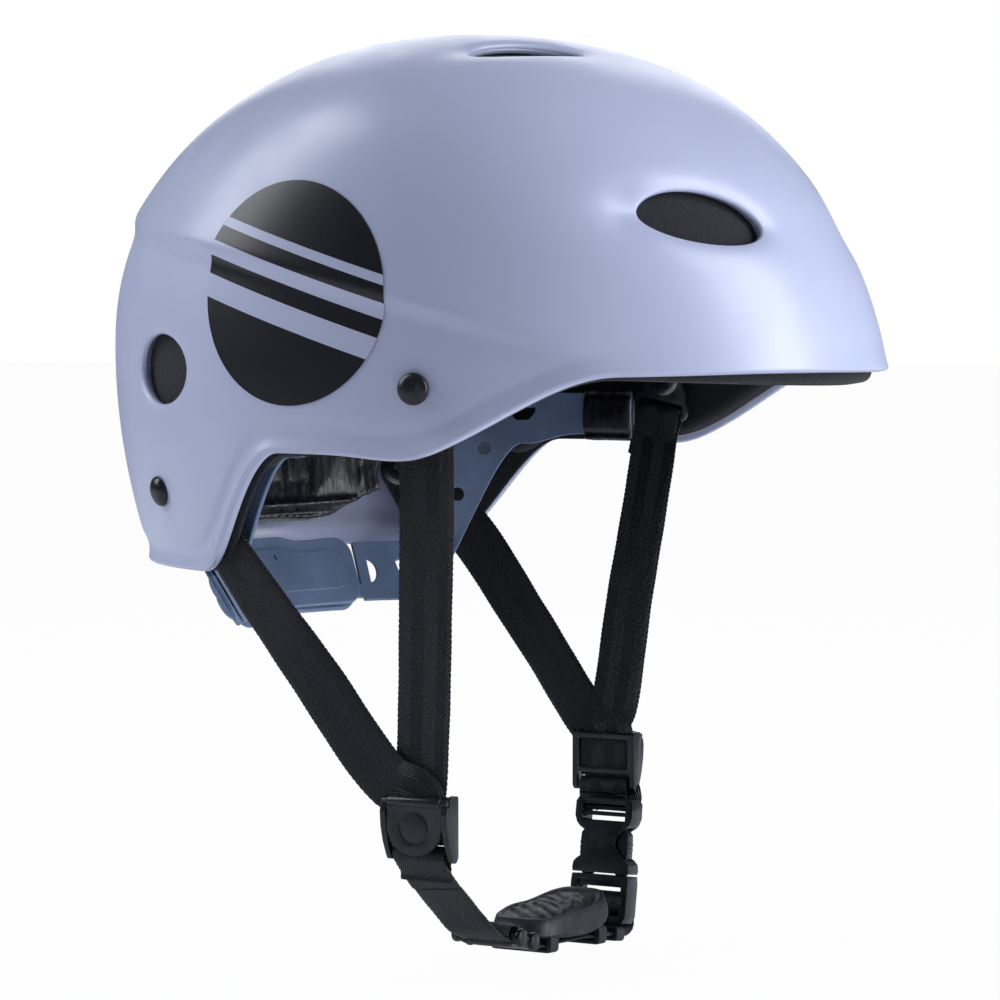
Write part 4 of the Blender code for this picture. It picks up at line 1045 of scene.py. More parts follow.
def loop_rows(at, radius, first, last, tail):
    """Rows of a sewn end that passes round a fore-and-aft bar, from angle first to last."""
    rows = []
    for down, gap in tail:
        rows.append(row(at + Vector((0, gap, -down)), (1, 0, 0), (0, 1, 0)))
    for k in range(7):
        angle = math.radians(first + (last - first) * k / 6)
        away = Vector((0, math.cos(angle), math.sin(angle)))
        rows.append(row(at + away * radius, (1, 0, 0), away))
    return rows


def build_lower_straps():
    path = chin_points()
    tail = [(9 * MM, 3.2 * MM), (6 * MM, 3.0 * MM)]
    rows = loop_rows(PIVOT, 2.65 * MM, -10, 205, tail)
    rows += path_rows(path)[1:]
    mesh = webbing_mesh("chin_webbing", rows, seed=4)
    add_object("chin_webbing", mesh, "chin_strap_body", "black_webbing", ["chin_strap"])

    buckle = buckle_frame()
    bar = divider_frame("left", 1) @ Vector((0, 1.6 * MM, -8.8 * MM))
    inward = [(0, 6.4, 23), (0, 6.4, 20), (0, 4.6, 18.6), (0, -2, 18.6)]
    goals = [buckle @ (Vector(point) * MM) for point in inward]
    rows = loop_rows(bar, 2.5 * MM, 190, -20, [(7 * MM, -1.0 * MM), (4.4 * MM, -2.0 * MM)])
    rows += path_rows([bar, *goals])[1:]
    mesh = webbing_mesh("short_webbing_left", rows, seed=5)
    add_object("short_webbing_left", mesh, "helmet", "black_webbing", ["short_strap_left"])


# ---------------------------------------------------------------- solid hardware

def rounded(points, radius, steps=5):
    """Replace the corners of a closed outline by arcs."""
    out = []
    count = len(points)
    for i in range(count):
        at = Vector(points[i])
        before, after = Vector(points[i - 1]) - at, Vector(points[(i + 1) % count]) - at
        half = before.angle(after) / 2
        reach = min(radius / math.tan(half), before.length * 0.48, after.length * 0.48)
        start, end = at + before.normalized() * reach, at + after.normalized() * reach
        for k in range(steps + 1):
            t = k / steps
            out.append(((1 - t) ** 2 * start + 2 * t * (1 - t) * at + t * t * end)[:])
    return out


def rectangle(width, height, x=0.0, y=0.0):
    return [(x - width / 2, y - height / 2), (x + width / 2, y - height / 2),
            (x + width / 2, y + height / 2), (x - width / 2, y + height / 2)]


def soft_box(width, height, radius, x=0.0, y=0.0):
    """Rectangle with rounded corners, its sizes in millimetres."""
    return rounded(in_metres(rectangle(width, height, x, y)), radius * MM)


def slab(outline, half, matrix):
    """Prism of an outline, half millimetres either way from its plane."""
    return prism(outline, -half * MM, half * MM, matrix)


def prism(outline, low, high, matrix):
    """Flat-ended mesh of an outline in local X, Y between two local Z levels."""
    bm = bmesh.new()
    base = [bm.verts.new((x, y, low)) for x, y in outline]
    made = bmesh.ops.extrude_face_region(bm, geom=[bm.faces.new(base)])["geom"]
    lifted = [part for part in made if isinstance(part, bmesh.types.BMVert)]
    bmesh.ops.translate(bm, vec=(0, 0, high - low), verts=lifted)
    return mesh_from(bm, "prism", matrix)


def lathe(profile, matrix, steps=40, lobes=0, depth=0.0):
    """Solid turned about local Z from (radius, height) rows, with optional lobes on its largest rows."""
    widest = max(radius for radius, _ in profile)
    bm = bmesh.new()
    rings = []
    for radius, height in profile:
        if radius < 1e-7:
            rings.append([bm.verts.new((0, 0, height))])
            continue
        ring = []
        for i in range(steps):
            angle = 2 * math.pi * i / steps
            share = max(0.0, (radius / widest - 0.55) / 0.45)
            lobe = depth * share * (abs(math.cos(lobes * angle / 2)) ** 0.8 - 0.5) * 2
            reach = radius + lobe
            ring.append(bm.verts.new((reach * math.cos(angle), reach * math.sin(angle), height)))
        rings.append(ring)
    for upper, lower in zip(rings, rings[1:]):
        for i in range(steps):
            j = (i + 1) % steps
            corners = [upper[i % len(upper)], upper[j % len(upper)]]
            corners += [lower[j % len(lower)], lower[i % len(lower)]]
            corners = list(dict.fromkeys(corners))
            if len(corners) > 2:
                bm.faces.new(corners)
    return mesh_from(bm, "lathe", matrix)


def evaluated(obj):
    bpy.context.view_layer.update()
    return bpy.data.meshes.new_from_object(obj.evaluated_get(bpy.context.evaluated_depsgraph_get()))


def solid(name, base, unions=(), cuts=(), bevel=0.35 * MM):
    """Join and cut meshes, then round the edges that are left."""
    work = linked(name, base)
    tools = []
    for kind, meshes in (("UNION", unions), ("DIFFERENCE", cuts)):
        for mesh in meshes:
            tool = linked("tool", mesh)
            boolean = work.modifiers.new("shape", "BOOLEAN")
            boolean.operation = kind
            boolean.object = tool
            boolean.solver = "EXACT"
            tools.append(tool)
    rounding = work.modifiers.new("rounding", "BEVEL")
    rounding.width = bevel
    rounding.segments = 3
    rounding.limit_method = "ANGLE"
    rounding.angle_limit = math.radians(35)
    rounding.harden_normals = False
    mesh = evaluated(work)
    mesh.name = name
    for obj in [work, *tools]:
        bpy.data.objects.remove(obj)
    reworked(
        mesh,
        lambda bm: bmesh.ops.remove_doubles(bm, verts=bm.verts, dist=1e-6),
        lambda bm: bmesh.ops.dissolve_degenerate(bm, edges=bm.edges, dist=1e-7),
    )
    return shade(mesh, 40)


def turned(rows, matrix, steps, angle=45):
    """Finished lathe mesh from rows in millimetres."""
    return shade(lathe(in_metres(rows), matrix, steps), angle)


def rod(radius, length, matrix, bevel=0.3, steps=28):
    """Round bar along local Z with bevelled ends, in millimetres."""
    half = length / 2
    profile = [(0, half), (radius - bevel, half)]
    profile += [(radius - 0.3 * bevel, half - 0.3 * bevel), (radius, half - bevel)]
    profile += [(r, -z) for r, z in profile[::-1]]
    return lathe(in_metres(profile), matrix, steps)


ACROSS = Matrix.Rotation(math.pi / 2, 4, "Y")
FLAP_HINGE = shift(0, 6.2, 8.6) @ ACROSS
FOOT_BAR = shift(0, 1.6, -8.8)


def arc(x, y, radius, first, last, count):
    """Points on an arc, in the units of its centre and radius; angles in degrees."""
    turns = np.radians(np.linspace(first, last, count))
    return [(x + radius * math.cos(turn), y + radius * math.sin(turn)) for turn in turns]


def rivet_rows(tail):
    """Domed cap outside, shank, and the peened end at a level inside."""
    dome_rows = [(5.1 * math.sin(a), 0.5 + 2.5 * math.cos(a)) for a in np.linspace(0, math.pi / 2, 9)]
    end = [(2.3, 0), (4.0, 0), (3.7, -0.9), (2.2, -1.1), (1.6, -0.5), (0, -0.4)]
    return dome_rows + [(5.1, 0.2), (2.3, 0.1)] + [(radius, tail + z) for radius, z in end]


HANGER_ARCS = ((0, 0, 7, 20, 160), (-8.8, -10.6, 3, 160, 270), (8.8, -10.6, 3, 270, 380))
EYELET_ROWS = [(2.6, 0.55), (3.2, 0.95), (4.2, 1.0), (5.2, 0.75), (5.9, 0.1), (5.7, -0.5)]
EYELET_ROWS += [(2.6, -0.5), (2.6, 0.55)]


def build_anchor_hardware():
    """Domed rivet outside, and inside it the strap hanger with its eyelet."""
    hanger = sum((arc(*numbers, 11) for numbers in HANGER_ARCS), [])
    for name, side in [(f"{end}_{word}", side) for side, word in SIDES for end in ("front", "rear")]:
        matrix = anchor_frame(name, side)
        depth = hanger_depth(name) / MM
        mesh = turned(rivet_rows(-depth - 2.3), matrix, 48, 50)
        add_object(f"rivet_cap_{name}", mesh, "helmet", "black_plastic", [f"rivet_{name}"])

        at = matrix @ shift(0, 0, -depth)
        cuts = [slab(soft_box(18.9, 2.8, 1.2, 0, -9.3), 3, at), rod(2.7, 6, at)]
        mesh = solid(f"hanger_plate_{name}", slab(in_metres(hanger), 0.5, at), (), cuts, 0.25 * MM)
        add_object(mesh.name, mesh, "helmet", "steel", [f"strap_hanger_{name}"])

        at = matrix @ shift(0, 0, -depth - 1.4) @ Matrix.Rotation(math.pi, 4, "X")
        add_object(f"eyelet_ring_{name}", turned(EYELET_ROWS, at, 44), "helmet", "steel", [f"eyelet_{name}"])


CHEEK = [(-0.7, 10.6), (4.2, 10.3), (6.8, 8.6), (7.7, 5.2), (7.3, 0.5)]
CHEEK += [(5.8, -4.6), (3.6, -9.2), (2.6, -10.9), (0.6, -10.9), (-0.7, -9.4)]
GROOVE_ROWS = [(4.6, 0.6), (5.4, 0.6), (5.4, -0.35), (4.6, -0.35), (4.6, 0.6)]
PATCH_PATH = ((0.9, 9.0), (0.1, 6.5), (0.0, 1.5), (0.4, -3.2), (1.4, -5.4))


def build_divider_frame(word, at):
    """Back plate with a window, two tall cheeks and a round bar for the lower webbing."""
    up = at @ UPRIGHT
    foot = [(x * 10.8, -5 + y * 4.5) for x, y in arc(0, 0, 1, 190.8, 349.2, 13)]
    back = in_metres([(-12, 9.5), (-12, -4), *foot, (12, -4), (12, 9.5)])
    plate = slab(rounded(back, 1.2 * MM, 3), 0.7, up)
    cheek = rounded(in_metres(CHEEK), 1.2 * MM, 3)
    unions = []
    for turn in (-1, 1):
        axes = Matrix(((0, 0, 1, turn * 11.1 * MM), (1, 0, 0, 0), (0, 1, 0, 0), (0, 0, 0, 1)))
        unions.append(slab(cheek, 0.95, at @ axes))
    unions.append(rod(1.5, 22.6, at @ FOOT_BAR @ ACROSS))
    unions.append(rod(1.0, 22.6, at @ shift(0, 0.4, 9.0) @ ACROSS))
    cuts = [slab(soft_box(20.8, 8.4, 1.5, 0, -8.6), 6, up), slab(soft_box(18.9, 10.6, 0.8, 0, 2.6), 3, up)]
    cuts.append(rod(1.25, 40, at @ FLAP_HINGE))
    mesh = solid(f"divider_frame_{word}", plate, unions, cuts, 0.3 * MM)
    add_object(mesh.name, mesh, "helmet", "black_plastic", [f"divider_{word}"])


def build_locking_flap(word, at):
    """D-shaped flap on a hinge pin, with a plain ring sunk in its face."""
    bow = [(x * 9.9, 1 + y * 9.6) for x, y in arc(0, 0, 1, 180, 360, 21)]
    face = in_metres([(9.9, 9.3), (-9.9, 9.3)] + bow)
    flap = prism(rounded(face, 0.6 * MM, 2), -7.1 * MM, -5.4 * MM, at @ UPRIGHT)
    ring_at = at @ shift(0, 7.2, 0.4) @ Matrix.Rotation(-math.pi / 2, 4, "X")
    groove = lathe(in_metres(GROOVE_ROWS), ring_at, 40)
    pins = [rod(1.0, 23.8, at @ FLAP_HINGE), rod(1.7, 19, at @ FLAP_HINGE)]
    mesh = solid(f"locking_flap_{word}", flap, pins, [groove], 0.25 * MM)
    add_object(mesh.name, mesh, f"flap_{word}", "black_plastic", [f"lock_flap_{word}"])


def build_dividers():
    for side, word in SIDES:
        at = divider_frame(word, side)
        build_divider_frame(word, at)
        across, outward, _ = at.to_3x3().transposed()
        rows = [row(at @ (Vector((0, y, z)) * MM), across, outward) for y, z in PATCH_PATH]
        mesh = webbing_mesh(f"divider_webbing_{word}", rows, width=18.4 * MM, seed=7 + side)
        add_object(mesh.name, mesh, "helmet", "black_webbing")
        build_locking_flap(word, at)


def socket_outline():
    """Half-width of the socket against height: rails, shoulders, waist and flared base."""
    right = [(9.9, 22), (10.9, 20.5), (11.0, 15.5), (10.2, 13.2), (9.0, 11.8)]
    right += [(9.0 - 4.3 * math.sin(math.pi * k / 12) ** 0.8, 11.8 - 11.0 * k / 12) for k in range(1, 12)]
    right += [(9.3, 0.6), (10.6, -0.8), (10.9, -3.0), (10.6, -4.2)]
    return in_metres(right) + [(-x * MM, z * MM) for x, z in right[::-1]]


PLUG_SIDE = [(10.7, -4.9), (11.0, -7.5), (10.8, -19.0), (9.6, -21.4)]
PRONG = [(4.9, -4.9), (8.0, -4.9), (8.3, 0.2), (9.1, 1.6), (9.25, 5.6)]
PRONG += [(8.9, 9.6), (7.4, 11.4), (5.6, 11.8), (5.1, 8.0), (5.0, 1.5)]


def build_buckle():
    """Side-release buckle: socket, plug with a middle tongue, and two ribbed prongs."""
    at = buckle_frame()
    up = at @ UPRIGHT
    cavity = slab(in_metres(rectangle(18.8, 16, 0, 4.0)), 3.05, up)
    cuts = [cavity]
    for z, tall in ((15.0, 1.6), (18.6, 2.6)):
        cuts.append(slab(soft_box(16.6, tall, 0.7, 0, z), 9, up))
    for face in (-1, 1):
        cuts.append(slab(soft_box(16.6, 7.2, 0.8, 0, 17.4), 1.4, at @ shift(0, face * 4.6, 0) @ UPRIGHT))
    mesh = solid("buckle_socket_body", slab(socket_outline(), 4.3, up), (), cuts, 0.4 * MM)
    add_object(mesh.name, mesh, "helmet", "black_plastic", ["buckle_socket"])

    base = slab(in_metres(PLUG_SIDE + [(-x, z) for x, z in PLUG_SIDE[::-1]]), 4.3, up)
    cuts = [slab(soft_box(16.8, tall, 0.8, 0, z), 9, up) for z, tall in ((-17.2, 3.4), (-11.2, 4.6))]
    for face in (-1, 1):
        cuts.append(slab(soft_box(16.8, 14.0, 0.8, 0, -13.6), 1.3, at @ shift(0, face * 4.5, 0) @ UPRIGHT))
    mesh = solid("buckle_plug_body", base, [slab(soft_box(4, 15, 1, 0, 3.2), 1.4, up)], cuts, 0.4 * MM)
    add_object(mesh.name, mesh, "chin_strap_body", "black_plastic", ["buckle_plug"])

    for sign, word in ((1, "front"), (-1, "rear")):
        outline = rounded(in_metres([(x * sign, z) for x, z in PRONG]), 1.0 * MM, 4)
        grips = [rod(0.35, 8, at @ shift(sign * 9.35, 0, z) @ UPRIGHT, 0.1, 12) for z in (3.4, 5.2, 7.0)]
        mesh = solid(f"squeeze_prong_{word}", slab(outline, 2.3, up), (), grips, 0.35 * MM)
        add_object(mesh.name, mesh, f"{word}_prong", "black_plastic", [f"prong_{word}"])


def strap_frame(joint):
    """On the chin webbing at a sliding fitting: local Y along the strap, Z towards the chin."""
    along = Vector(JOINTS[joint]["axis"])
    return facing(Vector((1, 0, 0)).cross(along), (1, 0, 0), Vector(JOINTS[joint]["pos_m"]))


FOLD_PATH = ((-5.2, -2.1), (-7.4, -1.6), (-8.9, 0.2), (-8.8, 2.6))
FOLD_PATH += ((-7.2, 4.2), (-4.4, 4.6), (0, 4.1), (5.2, 3.3))


def build_slider():
    """Ladder-lock with round bar ends; the webbing is folded back over its near bar."""
    at = strap_frame("slider_slide")
    plate = slab(soft_box(23.4, 16.5, 2.2), 1.75, at)
    cuts = [slab(in_metres(rectangle(18.9, 40)), 0.95, at)]
    cuts += [prism(soft_box(18.0, 4.6, 0.8, 0, y), 0, 6 * MM, at) for y in (-4.1, 4.1)]
    ends = [rod(3.1, 2.4, at @ shift(x, y, 0.8) @ ACROSS, 0.7) for x in (-11.6, 11.6) for y in (-4.9, 4.6)]
    mesh = solid("slider_body", plate, ends, cuts, 0.3 * MM)
    add_object(mesh.name, mesh, "slider_body", "black_plastic", ["strap_slider"])
    path = [Vector((0, y, z)) * MM for y, z in FOLD_PATH]
    rows = []
    for i, point in enumerate(path):
        along = path[min(len(path) - 1, i + 1)] - path[max(0, i - 1)]
        normal = Vector((0, -along.z, along.y))
        rows.append(row(at @ point, at.to_3x3() @ Vector((1, 0, 0)), at.to_3x3() @ normal))
    mesh = webbing_mesh("slider_fold", rows, seed=6)
    add_object("slider_fold", mesh, "slider_body", "black_webbing")


def build_keeper():
    at = strap_frame("keeper_slide") @ UPRIGHT
    hole = slab(soft_box(18.8, 2.0, 0.5), 9, at)
    mesh = solid("keeper_hoop", slab(soft_box(22, 4.8, 1.6), 3, at), (), [hole], 0.5 * MM)
    add_object(mesh.name, mesh, "keeper_body", "black_rubber", ["strap_keeper"])


PAD_LENGTH, PAD_WIDTH, PAD_THICK = 55 * MM, 27 * MM, 9.5 * MM


PAD_RINGS, PAD_SPOKES = 30, 110
# Rings of the cushion's side and underside: share of the drop, and width as a share of the top's
PAD_UNDERSIDE = ((0.35, 1.012), (0.6, 1.015), (0.85, 0.99), (1.0, 0.90), (1.0, 0.4))


def pad_lift(y):
    """The cushion curls up towards its far end."""
    share = 2 * y / PAD_LENGTH
    return (5.5 if share > 0 else 0.4) * MM * share ** 2


def pad_top(x, y, share):
    """Height of the cushion's face: crown, raised border and slanting ribs."""
    sag = pad_lift(y) - 3.2 * MM * float(smoothstep(-2 * y / PAD_LENGTH))
    border = smoothstep((share - 0.80) / 0.05) * (1 - smoothstep((share - 0.93) / 0.06))
    slant = (y + x * 0.9) / (6.4 * MM)
    rib = np.clip(np.cos(2 * math.pi * slant), 0.1, 0.75) / 0.75
    field = 1 - smoothstep((share - 0.70) / 0.05)
    crown = PAD_THICK - 1.4 * MM * share ** 2 - 3.4 * MM * smoothstep((share - 0.90) / 0.10) ** 2
    return crown + sag + 0.9 * MM * border + 1.0 * MM * rib * field


def build_chin_pad():
    """Crowned rubber pad with rounded ends, a raised border and slanting ribs, on two hoops."""
    at = strap_frame("chin_pad_slide") @ shift(0, 0, 2.0)
    loop = ellipse(1, 1, PAD_SPOKES, power=3.4) * (PAD_WIDTH / 2, PAD_LENGTH / 2)
    shares = [ring / PAD_RINGS for ring in range(PAD_RINGS + 1)]
    points = [(x, y, pad_top(x, y, share)) for share in shares for x, y in loop * share]
    for drop, grow in PAD_UNDERSIDE:
        for x, y in loop * grow:
            thinner = 3.0 * MM * float(smoothstep(-2 * y / PAD_LENGTH))
            points.append((x, y, (PAD_THICK - 4.6 * MM - thinner) * (1 - drop) + pad_lift(y)))
    rings = np.arange(len(points)).reshape(-1, PAD_SPOKES)
    faces = [face for first, second in zip(rings, rings[1:]) for face in strip_faces(first, second)]
    faces.append(tuple(rings[-1].tolist()))
    mesh = reworked(
        mesh_of("chin_cushion", points, faces),
        lambda bm: bmesh.ops.remove_doubles(bm, verts=bm.verts, dist=2e-6),
        outward_faces,
        lambda bm: bm.transform(at),
    )
    add_object("chin_cushion", shade(mesh, 60), "chin_pad_body", "black_rubber", ["chin_pad"])
    for end, word in ((-1, "near"), (1, "far")):
        place = at @ shift(0, end * 19, -1.5) @ UPRIGHT
        hole = slab(soft_box(18.9, 2.6, 0.5, 0, -0.5), 9, place)
        mesh = solid(f"cushion_hoop_{word}", slab(soft_box(22.8, 6.4, 1.8), 3, place), (), [hole], 0.4 * MM)
        add_object(mesh.name, mesh, "chin_pad_body", "black_rubber")


# ---------------------------------------------------------------- fit cradle

BAND_AXIS = np.array((-17, 0, 0)) * MM
BAND_RADIUS = 86 * MM
BAND_KNEE_Z = -152 * MM
KNEE_ROUND = 1.6 * MM
NAPE_TILT = math.radians(30)
BAND_Z = -164 * MM
BAND_HEIGHT = 20 * MM
BAND_THICK = 1.6 * MM
ARM_TOP_Z = -106 * MM
ARM_RISE = (47, 79)
ARM_SPAN = (35.2, 108.8)
ARM_PIN = 107
TONGUE_OFFSET = 6.95 * MM
TONGUE_HEIGHT = 4.1 * MM
PLATE_SPAN = 33
PLATE_HEIGHT = 23 * MM


def cradle_surface(offset):
    """Map from (distance round the band, height) to the band's surface moved out by an offset."""
    def place(layout):
        turn, z = -layout[:, 0] / BAND_RADIUS, layout[:, 1]
        below = (BAND_KNEE_Z - z) / KNEE_ROUND
        radius = BAND_RADIUS - math.tan(NAPE_TILT) * KNEE_ROUND * np.logaddexp(0, below)
        lean = math.tan(NAPE_TILT) / (1 + np.exp(-below))
        away = np.stack([-np.cos(turn), np.sin(turn), np.zeros_like(turn)], 1)
        normal = unit(away - lean[:, None] * np.array((0, 0, 1)))
        base = BAND_AXIS + radius[:, None] * away + z[:, None] * np.array((0, 0, 1))
        return base + normal * offset
    return place


def band_layout(degrees, z):
    return (-math.radians(degrees) * BAND_RADIUS, z)


def wound(points, clockwise=False):
    """The same outline, in the asked direction."""
    area = sum(a[0] * b[1] - b[0] * a[1] for a, b in zip(points, points[1:] + points[:1]))
    return points if (area < 0) == clockwise else points[::-1]


def arm_level(degrees):
    rise = float(smoothstep((abs(degrees) - ARM_RISE[0]) / (ARM_RISE[1] - ARM_RISE[0])))
    return BAND_Z + (ARM_TOP_Z - BAND_Z) * rise


def arm_slope(degrees):
    return (arm_level(degrees + 0.5) - arm_level(degrees - 0.5)) / (math.radians(1) * BAND_RADIUS)


def arm_half(degrees):
    slim = 1 - 0.28 * float(smoothstep((abs(degrees) - ARM_RISE[0]) / 45))
    return BAND_HEIGHT / 2 * math.sqrt(1 + arm_slope(degrees) ** 2) * slim


def arm_fillet(degrees):
    """Extra depth that rounds the inside of the arm's upper bend."""
    return 3.4 * MM * math.exp(-((degrees - 80.5) / 7.5) ** 2)


def arm_outline(side):
    middle = BAND_Z - side * TONGUE_OFFSET
    low, high = middle - TONGUE_HEIGHT / 2, middle + TONGUE_HEIGHT / 2
    turns = np.linspace(ARM_SPAN[0], ARM_SPAN[1], 120)
    lower = [band_layout(t * side, arm_level(t) - arm_half(t) - arm_fillet(t)) for t in turns]
    upper = [band_layout(t * side, arm_level(t) + arm_half(t)) for t in turns]
    half = arm_half(ARM_SPAN[1])
    end = [band_layout((ARM_SPAN[1] + 1.6 * math.cos(a)) * side, ARM_TOP_Z + half * math.sin(a))
           for a in np.linspace(-math.pi / 2, math.pi / 2, 13)[1:-1]]
    tongue = [band_layout(t * side, high) for t in np.linspace(ARM_SPAN[0] - 0.1, -5, 40)]
    tongue += [band_layout(t * side, low) for t in np.linspace(-5, ARM_SPAN[0] - 0.1, 40)]
    return wound(lower + end + upper[::-1] + tongue)


def arm_hole(degrees, side, shape):
    """A hole drawn along the arm: shape is in millimetres, X towards the front and Y up."""
    slope = math.atan(arm_slope(degrees))
    points = []
    for x, y in shape:
        along = x * math.cos(slope) - y * math.sin(slope)
        up = x * math.sin(slope) + y * math.cos(slope)
        at = band_layout(degrees * side, arm_level(degrees) + up * MM)
        points.append((at[0] - side * along * MM, at[1]))
    return wound(points, clockwise=True)


def arm_hole_shapes():
    moon = [(-1.2, 4.4), (-1.2, -4.4)]
    moon += [(-1.2 + 4.2 * x, 4.5 * y) for x, y in arc(0, 0, 1, -83.08, 83.08, 15)]
    window = rounded(rectangle(6.4, 8.3), 1.0, 4)
    small = arc(0, 0, 2.8, 0, 360, 29)[:-1]
    slot = rounded([(-5.0, 1.6), (-4.4, -1.4), (-2.6, -2.9), (2.4, -2.9), (5.4, 0.4), (5.2, 2.3)], 1.2, 4)
    pin = arc(0, 0, 2.1, 0, 360, 25)[:-1]
    return ((38.6, moon), (48.4, window), (62.5, small), (69.2, small), (79, slot), (ARM_PIN, pin))


PUSH_PIN_ROWS = [(0, 4.5), (0.9, 4.3), (1.5, 3.9), (1.8, 3.3), (1.8, 2.8), (1.5, 2.4), (1.7, 1.8)]
PUSH_PIN_ROWS += [(1.7, -1.1), (3.5, -1.1), (3.7, -1.4), (3.5, -1.9), (2.6, -2.25), (0, -2.35)]


def build_arms():
    place = cradle_surface(BAND_THICK / 2)
    for side, word in SIDES:
        holes = [arm_hole(degrees, side, shape) for degrees, shape in arm_hole_shapes()]
        mesh = sheet(f"arm_{word}", arm_outline(side), holes, 1.6 * MM, place, BAND_THICK, 0.35 * MM)
        add_object(f"fit_arm_{word}", mesh, f"{word}_arm", "blue_grey_plastic", [f"band_{word}"])
        turn = math.radians(ARM_PIN * side)
        at = Vector(cradle_surface(0)(np.array([band_layout(ARM_PIN * side, ARM_TOP_Z)]))[0])
        matrix = facing((-math.cos(turn), math.sin(turn), 0), (0, 0, 1), at)
        mesh = turned(PUSH_PIN_ROWS, matrix, 32)
        add_object(f"push_pin_{word}", mesh, f"{word}_arm", "black_plastic", [f"band_pin_{word}"])


def plate_outline(grow=0.0):
    """Outline of a plate across the nape, its top edge waved and its ends rounded."""
    reach = math.radians(PLATE_SPAN) * BAND_RADIUS + grow
    half = PLATE_HEIGHT / 2 + grow

    def top(x):
        share = abs(x) / reach
        hump = 1 - smoothstep((share - 0.30) / 0.24)
        shoulder = smoothstep((share - 0.62) / 0.2)
        return half + 2.2 * MM * float(hump) + 0.6 * MM * float(shoulder) - 1.2 * MM

    corner = 6.5 * MM
    side, low, high = reach - corner, corner - half, top(reach) - corner
    xs = [float(x) for x in np.linspace(-side, side, 90)]
    points = [(x, -half) for x in xs]
    points += arc(side, low, corner, -90, 0, 11) + arc(side, high, corner, 0, 90, 11)
    points += [(x, top(x)) for x in xs[::-1]]
    points += arc(-side, high, corner, 90, 180, 11) + arc(-side, low, corner, 180, 270, 11)
    apart = [point for point, before in zip(points, points[-1:] + points) if math.dist(point, before) > 1e-5]
    return [(x, z + BAND_Z) for x, z in apart]


def dial_frame():
    """At the band's rear centre, local Z out of the back along the dial's axis, local X up."""
    outward = (-math.cos(NAPE_TILT), 0, -math.sin(NAPE_TILT))
    return facing(outward, (0, 0, 1), Vector(JOINTS["dial_turn"]["pos_m"]))


LATCH_SLOT = [(6.8, 6.2), (10.2, 6.2), (10.2, 3.8), (8.8, 3.8), (8.8, 5.0), (6.8, 5.0)]
DISC_ROWS = [(3.9, 3.9), (15.2, 3.9), (15.6, 4.2), (15.6, 4.6), (15.0, 4.95), (3.9, 4.95), (3.9, 3.9)]


def build_dial_housing():
    """Outer and inner plates across the nape, the inner one with a raised and slotted face."""
    bore = arc(0, BAND_Z, 3.9 * MM, 360, 0, 29)[:-1]
    slots = []
    for sign in (-1, 1):
        slot = [(sign * x * MM, BAND_Z + z * MM) for x, z in rounded(LATCH_SLOT, 0.3, 2)]
        slots.append(wound(slot, clockwise=True))
    # piece, growth of its outline, holes, middle of its wall from the band, wall, rounding, what it replaces
    plates = (
        ("housing_plate", 0, [bore], 3.8, 2.4, 0.6, ["dial_housing"]),
        ("cover_plate", 0, [], -1.5, 2.0, 0.5, ["dial_cover"]),
        ("cover_face", -4.6, slots, -3.4, 0.75, 0.3, []),
    )
    for name, grow, holes, away, wall, rounding, replaced in plates:
        place = cradle_surface(away * MM)
        mesh = sheet(name, plate_outline(grow * MM), holes, 1.6 * MM, place, wall * MM, rounding * MM)
        add_object(name, mesh, "helmet", "blue_grey_plastic", replaced)
    disc = turned(DISC_ROWS, dial_frame(), 72)
    add_object("dial_plate", disc, "helmet", "blue_grey_plastic", finish="pale_plastic")


KNOB_ROWS = [(1.7, 5.3), (6.2, 5.3), (6.2, 8.4), (10.7, 8.4), (10.7, 5.3), (12.0, 5.3), (12.8, 5.6)]
KNOB_ROWS += [(13.0, 6.2), (13.0, 8.6), (12.75, 8.9), (12.75, 9.2), (13.0, 9.5), (13.0, 11.6)]
KNOB_ROWS += [(12.7, 12.5), (12.0, 13.1), (11.0, 13.4), (9.6, 13.3), (8.6, 12.7), (7.8, 12.4)]
KNOB_ROWS += [(5.4, 12.4), (4.6, 12.2), (4.4, 11.3), (1.7, 11.3), (1.7, 5.3)]
SCREW_ROWS = [(0, 13.0), (0.8, 12.3), (1.5, 12.3), (1.6, 13.15), (2.5, 13.0), (3.1, 12.5)]
SCREW_ROWS += [(3.2, 11.7), (1.25, 11.6), (1.25, -0.6), (0, -0.6)]


def build_knob():
    """Six-lobed knob, dished outside, with a fine grip line round each lobe, and its screw."""
    mesh = lathe(in_metres(KNOB_ROWS), dial_frame(), 144, 6, 0.9 * MM)
    add_object("grip_knob", shade(mesh, 40), "dial", "blue_grey_plastic", ["dial_knob"])
    add_object("dial_screw_visual", turned(SCREW_ROWS, dial_frame(), 36), "dial", "steel", ["dial_screw"])


# ---------------------------------------------------------------- padded leatherette

PAD_GRAIN = 1.5 * MM
PAD_SETTLE = 2.0 * MM


def vertex_values(mesh, attribute="co"):
    values = np.empty(len(mesh.vertices) * 3)
    mesh.vertices.foreach_get(attribute, values)
    return values.reshape(-1, 3)


def set_vertices(mesh, points):
    mesh.vertices.foreach_set("co", points.ravel())
    mesh.update()


def pad_copy(node_name, name):
    """Slightly smaller, evenly meshed copy of a CAD pad in world coordinates."""
    source = frame["nodes"][node_name]
    mesh = source.data.copy()
    mesh.transform(source.matrix_world)
    mesh.materials.clear()
    centre = vertex_values(mesh).mean(0)
    mesh.transform(Matrix.Translation(centre) @ Matrix.Scale(0.985, 4) @ Matrix.Translation(-centre))
    pad = linked(name, mesh)
    remesh = pad.modifiers.new("even", "REMESH")
    remesh.mode = "VOXEL"
    remesh.voxel_size = PAD_GRAIN
    relaxed = pad.modifiers.new("relaxed", "SMOOTH")
    relaxed.factor = 0.5
    relaxed.iterations = 6
    pad.data = evaluated(pad)
    pad.modifiers.clear()
    return pad


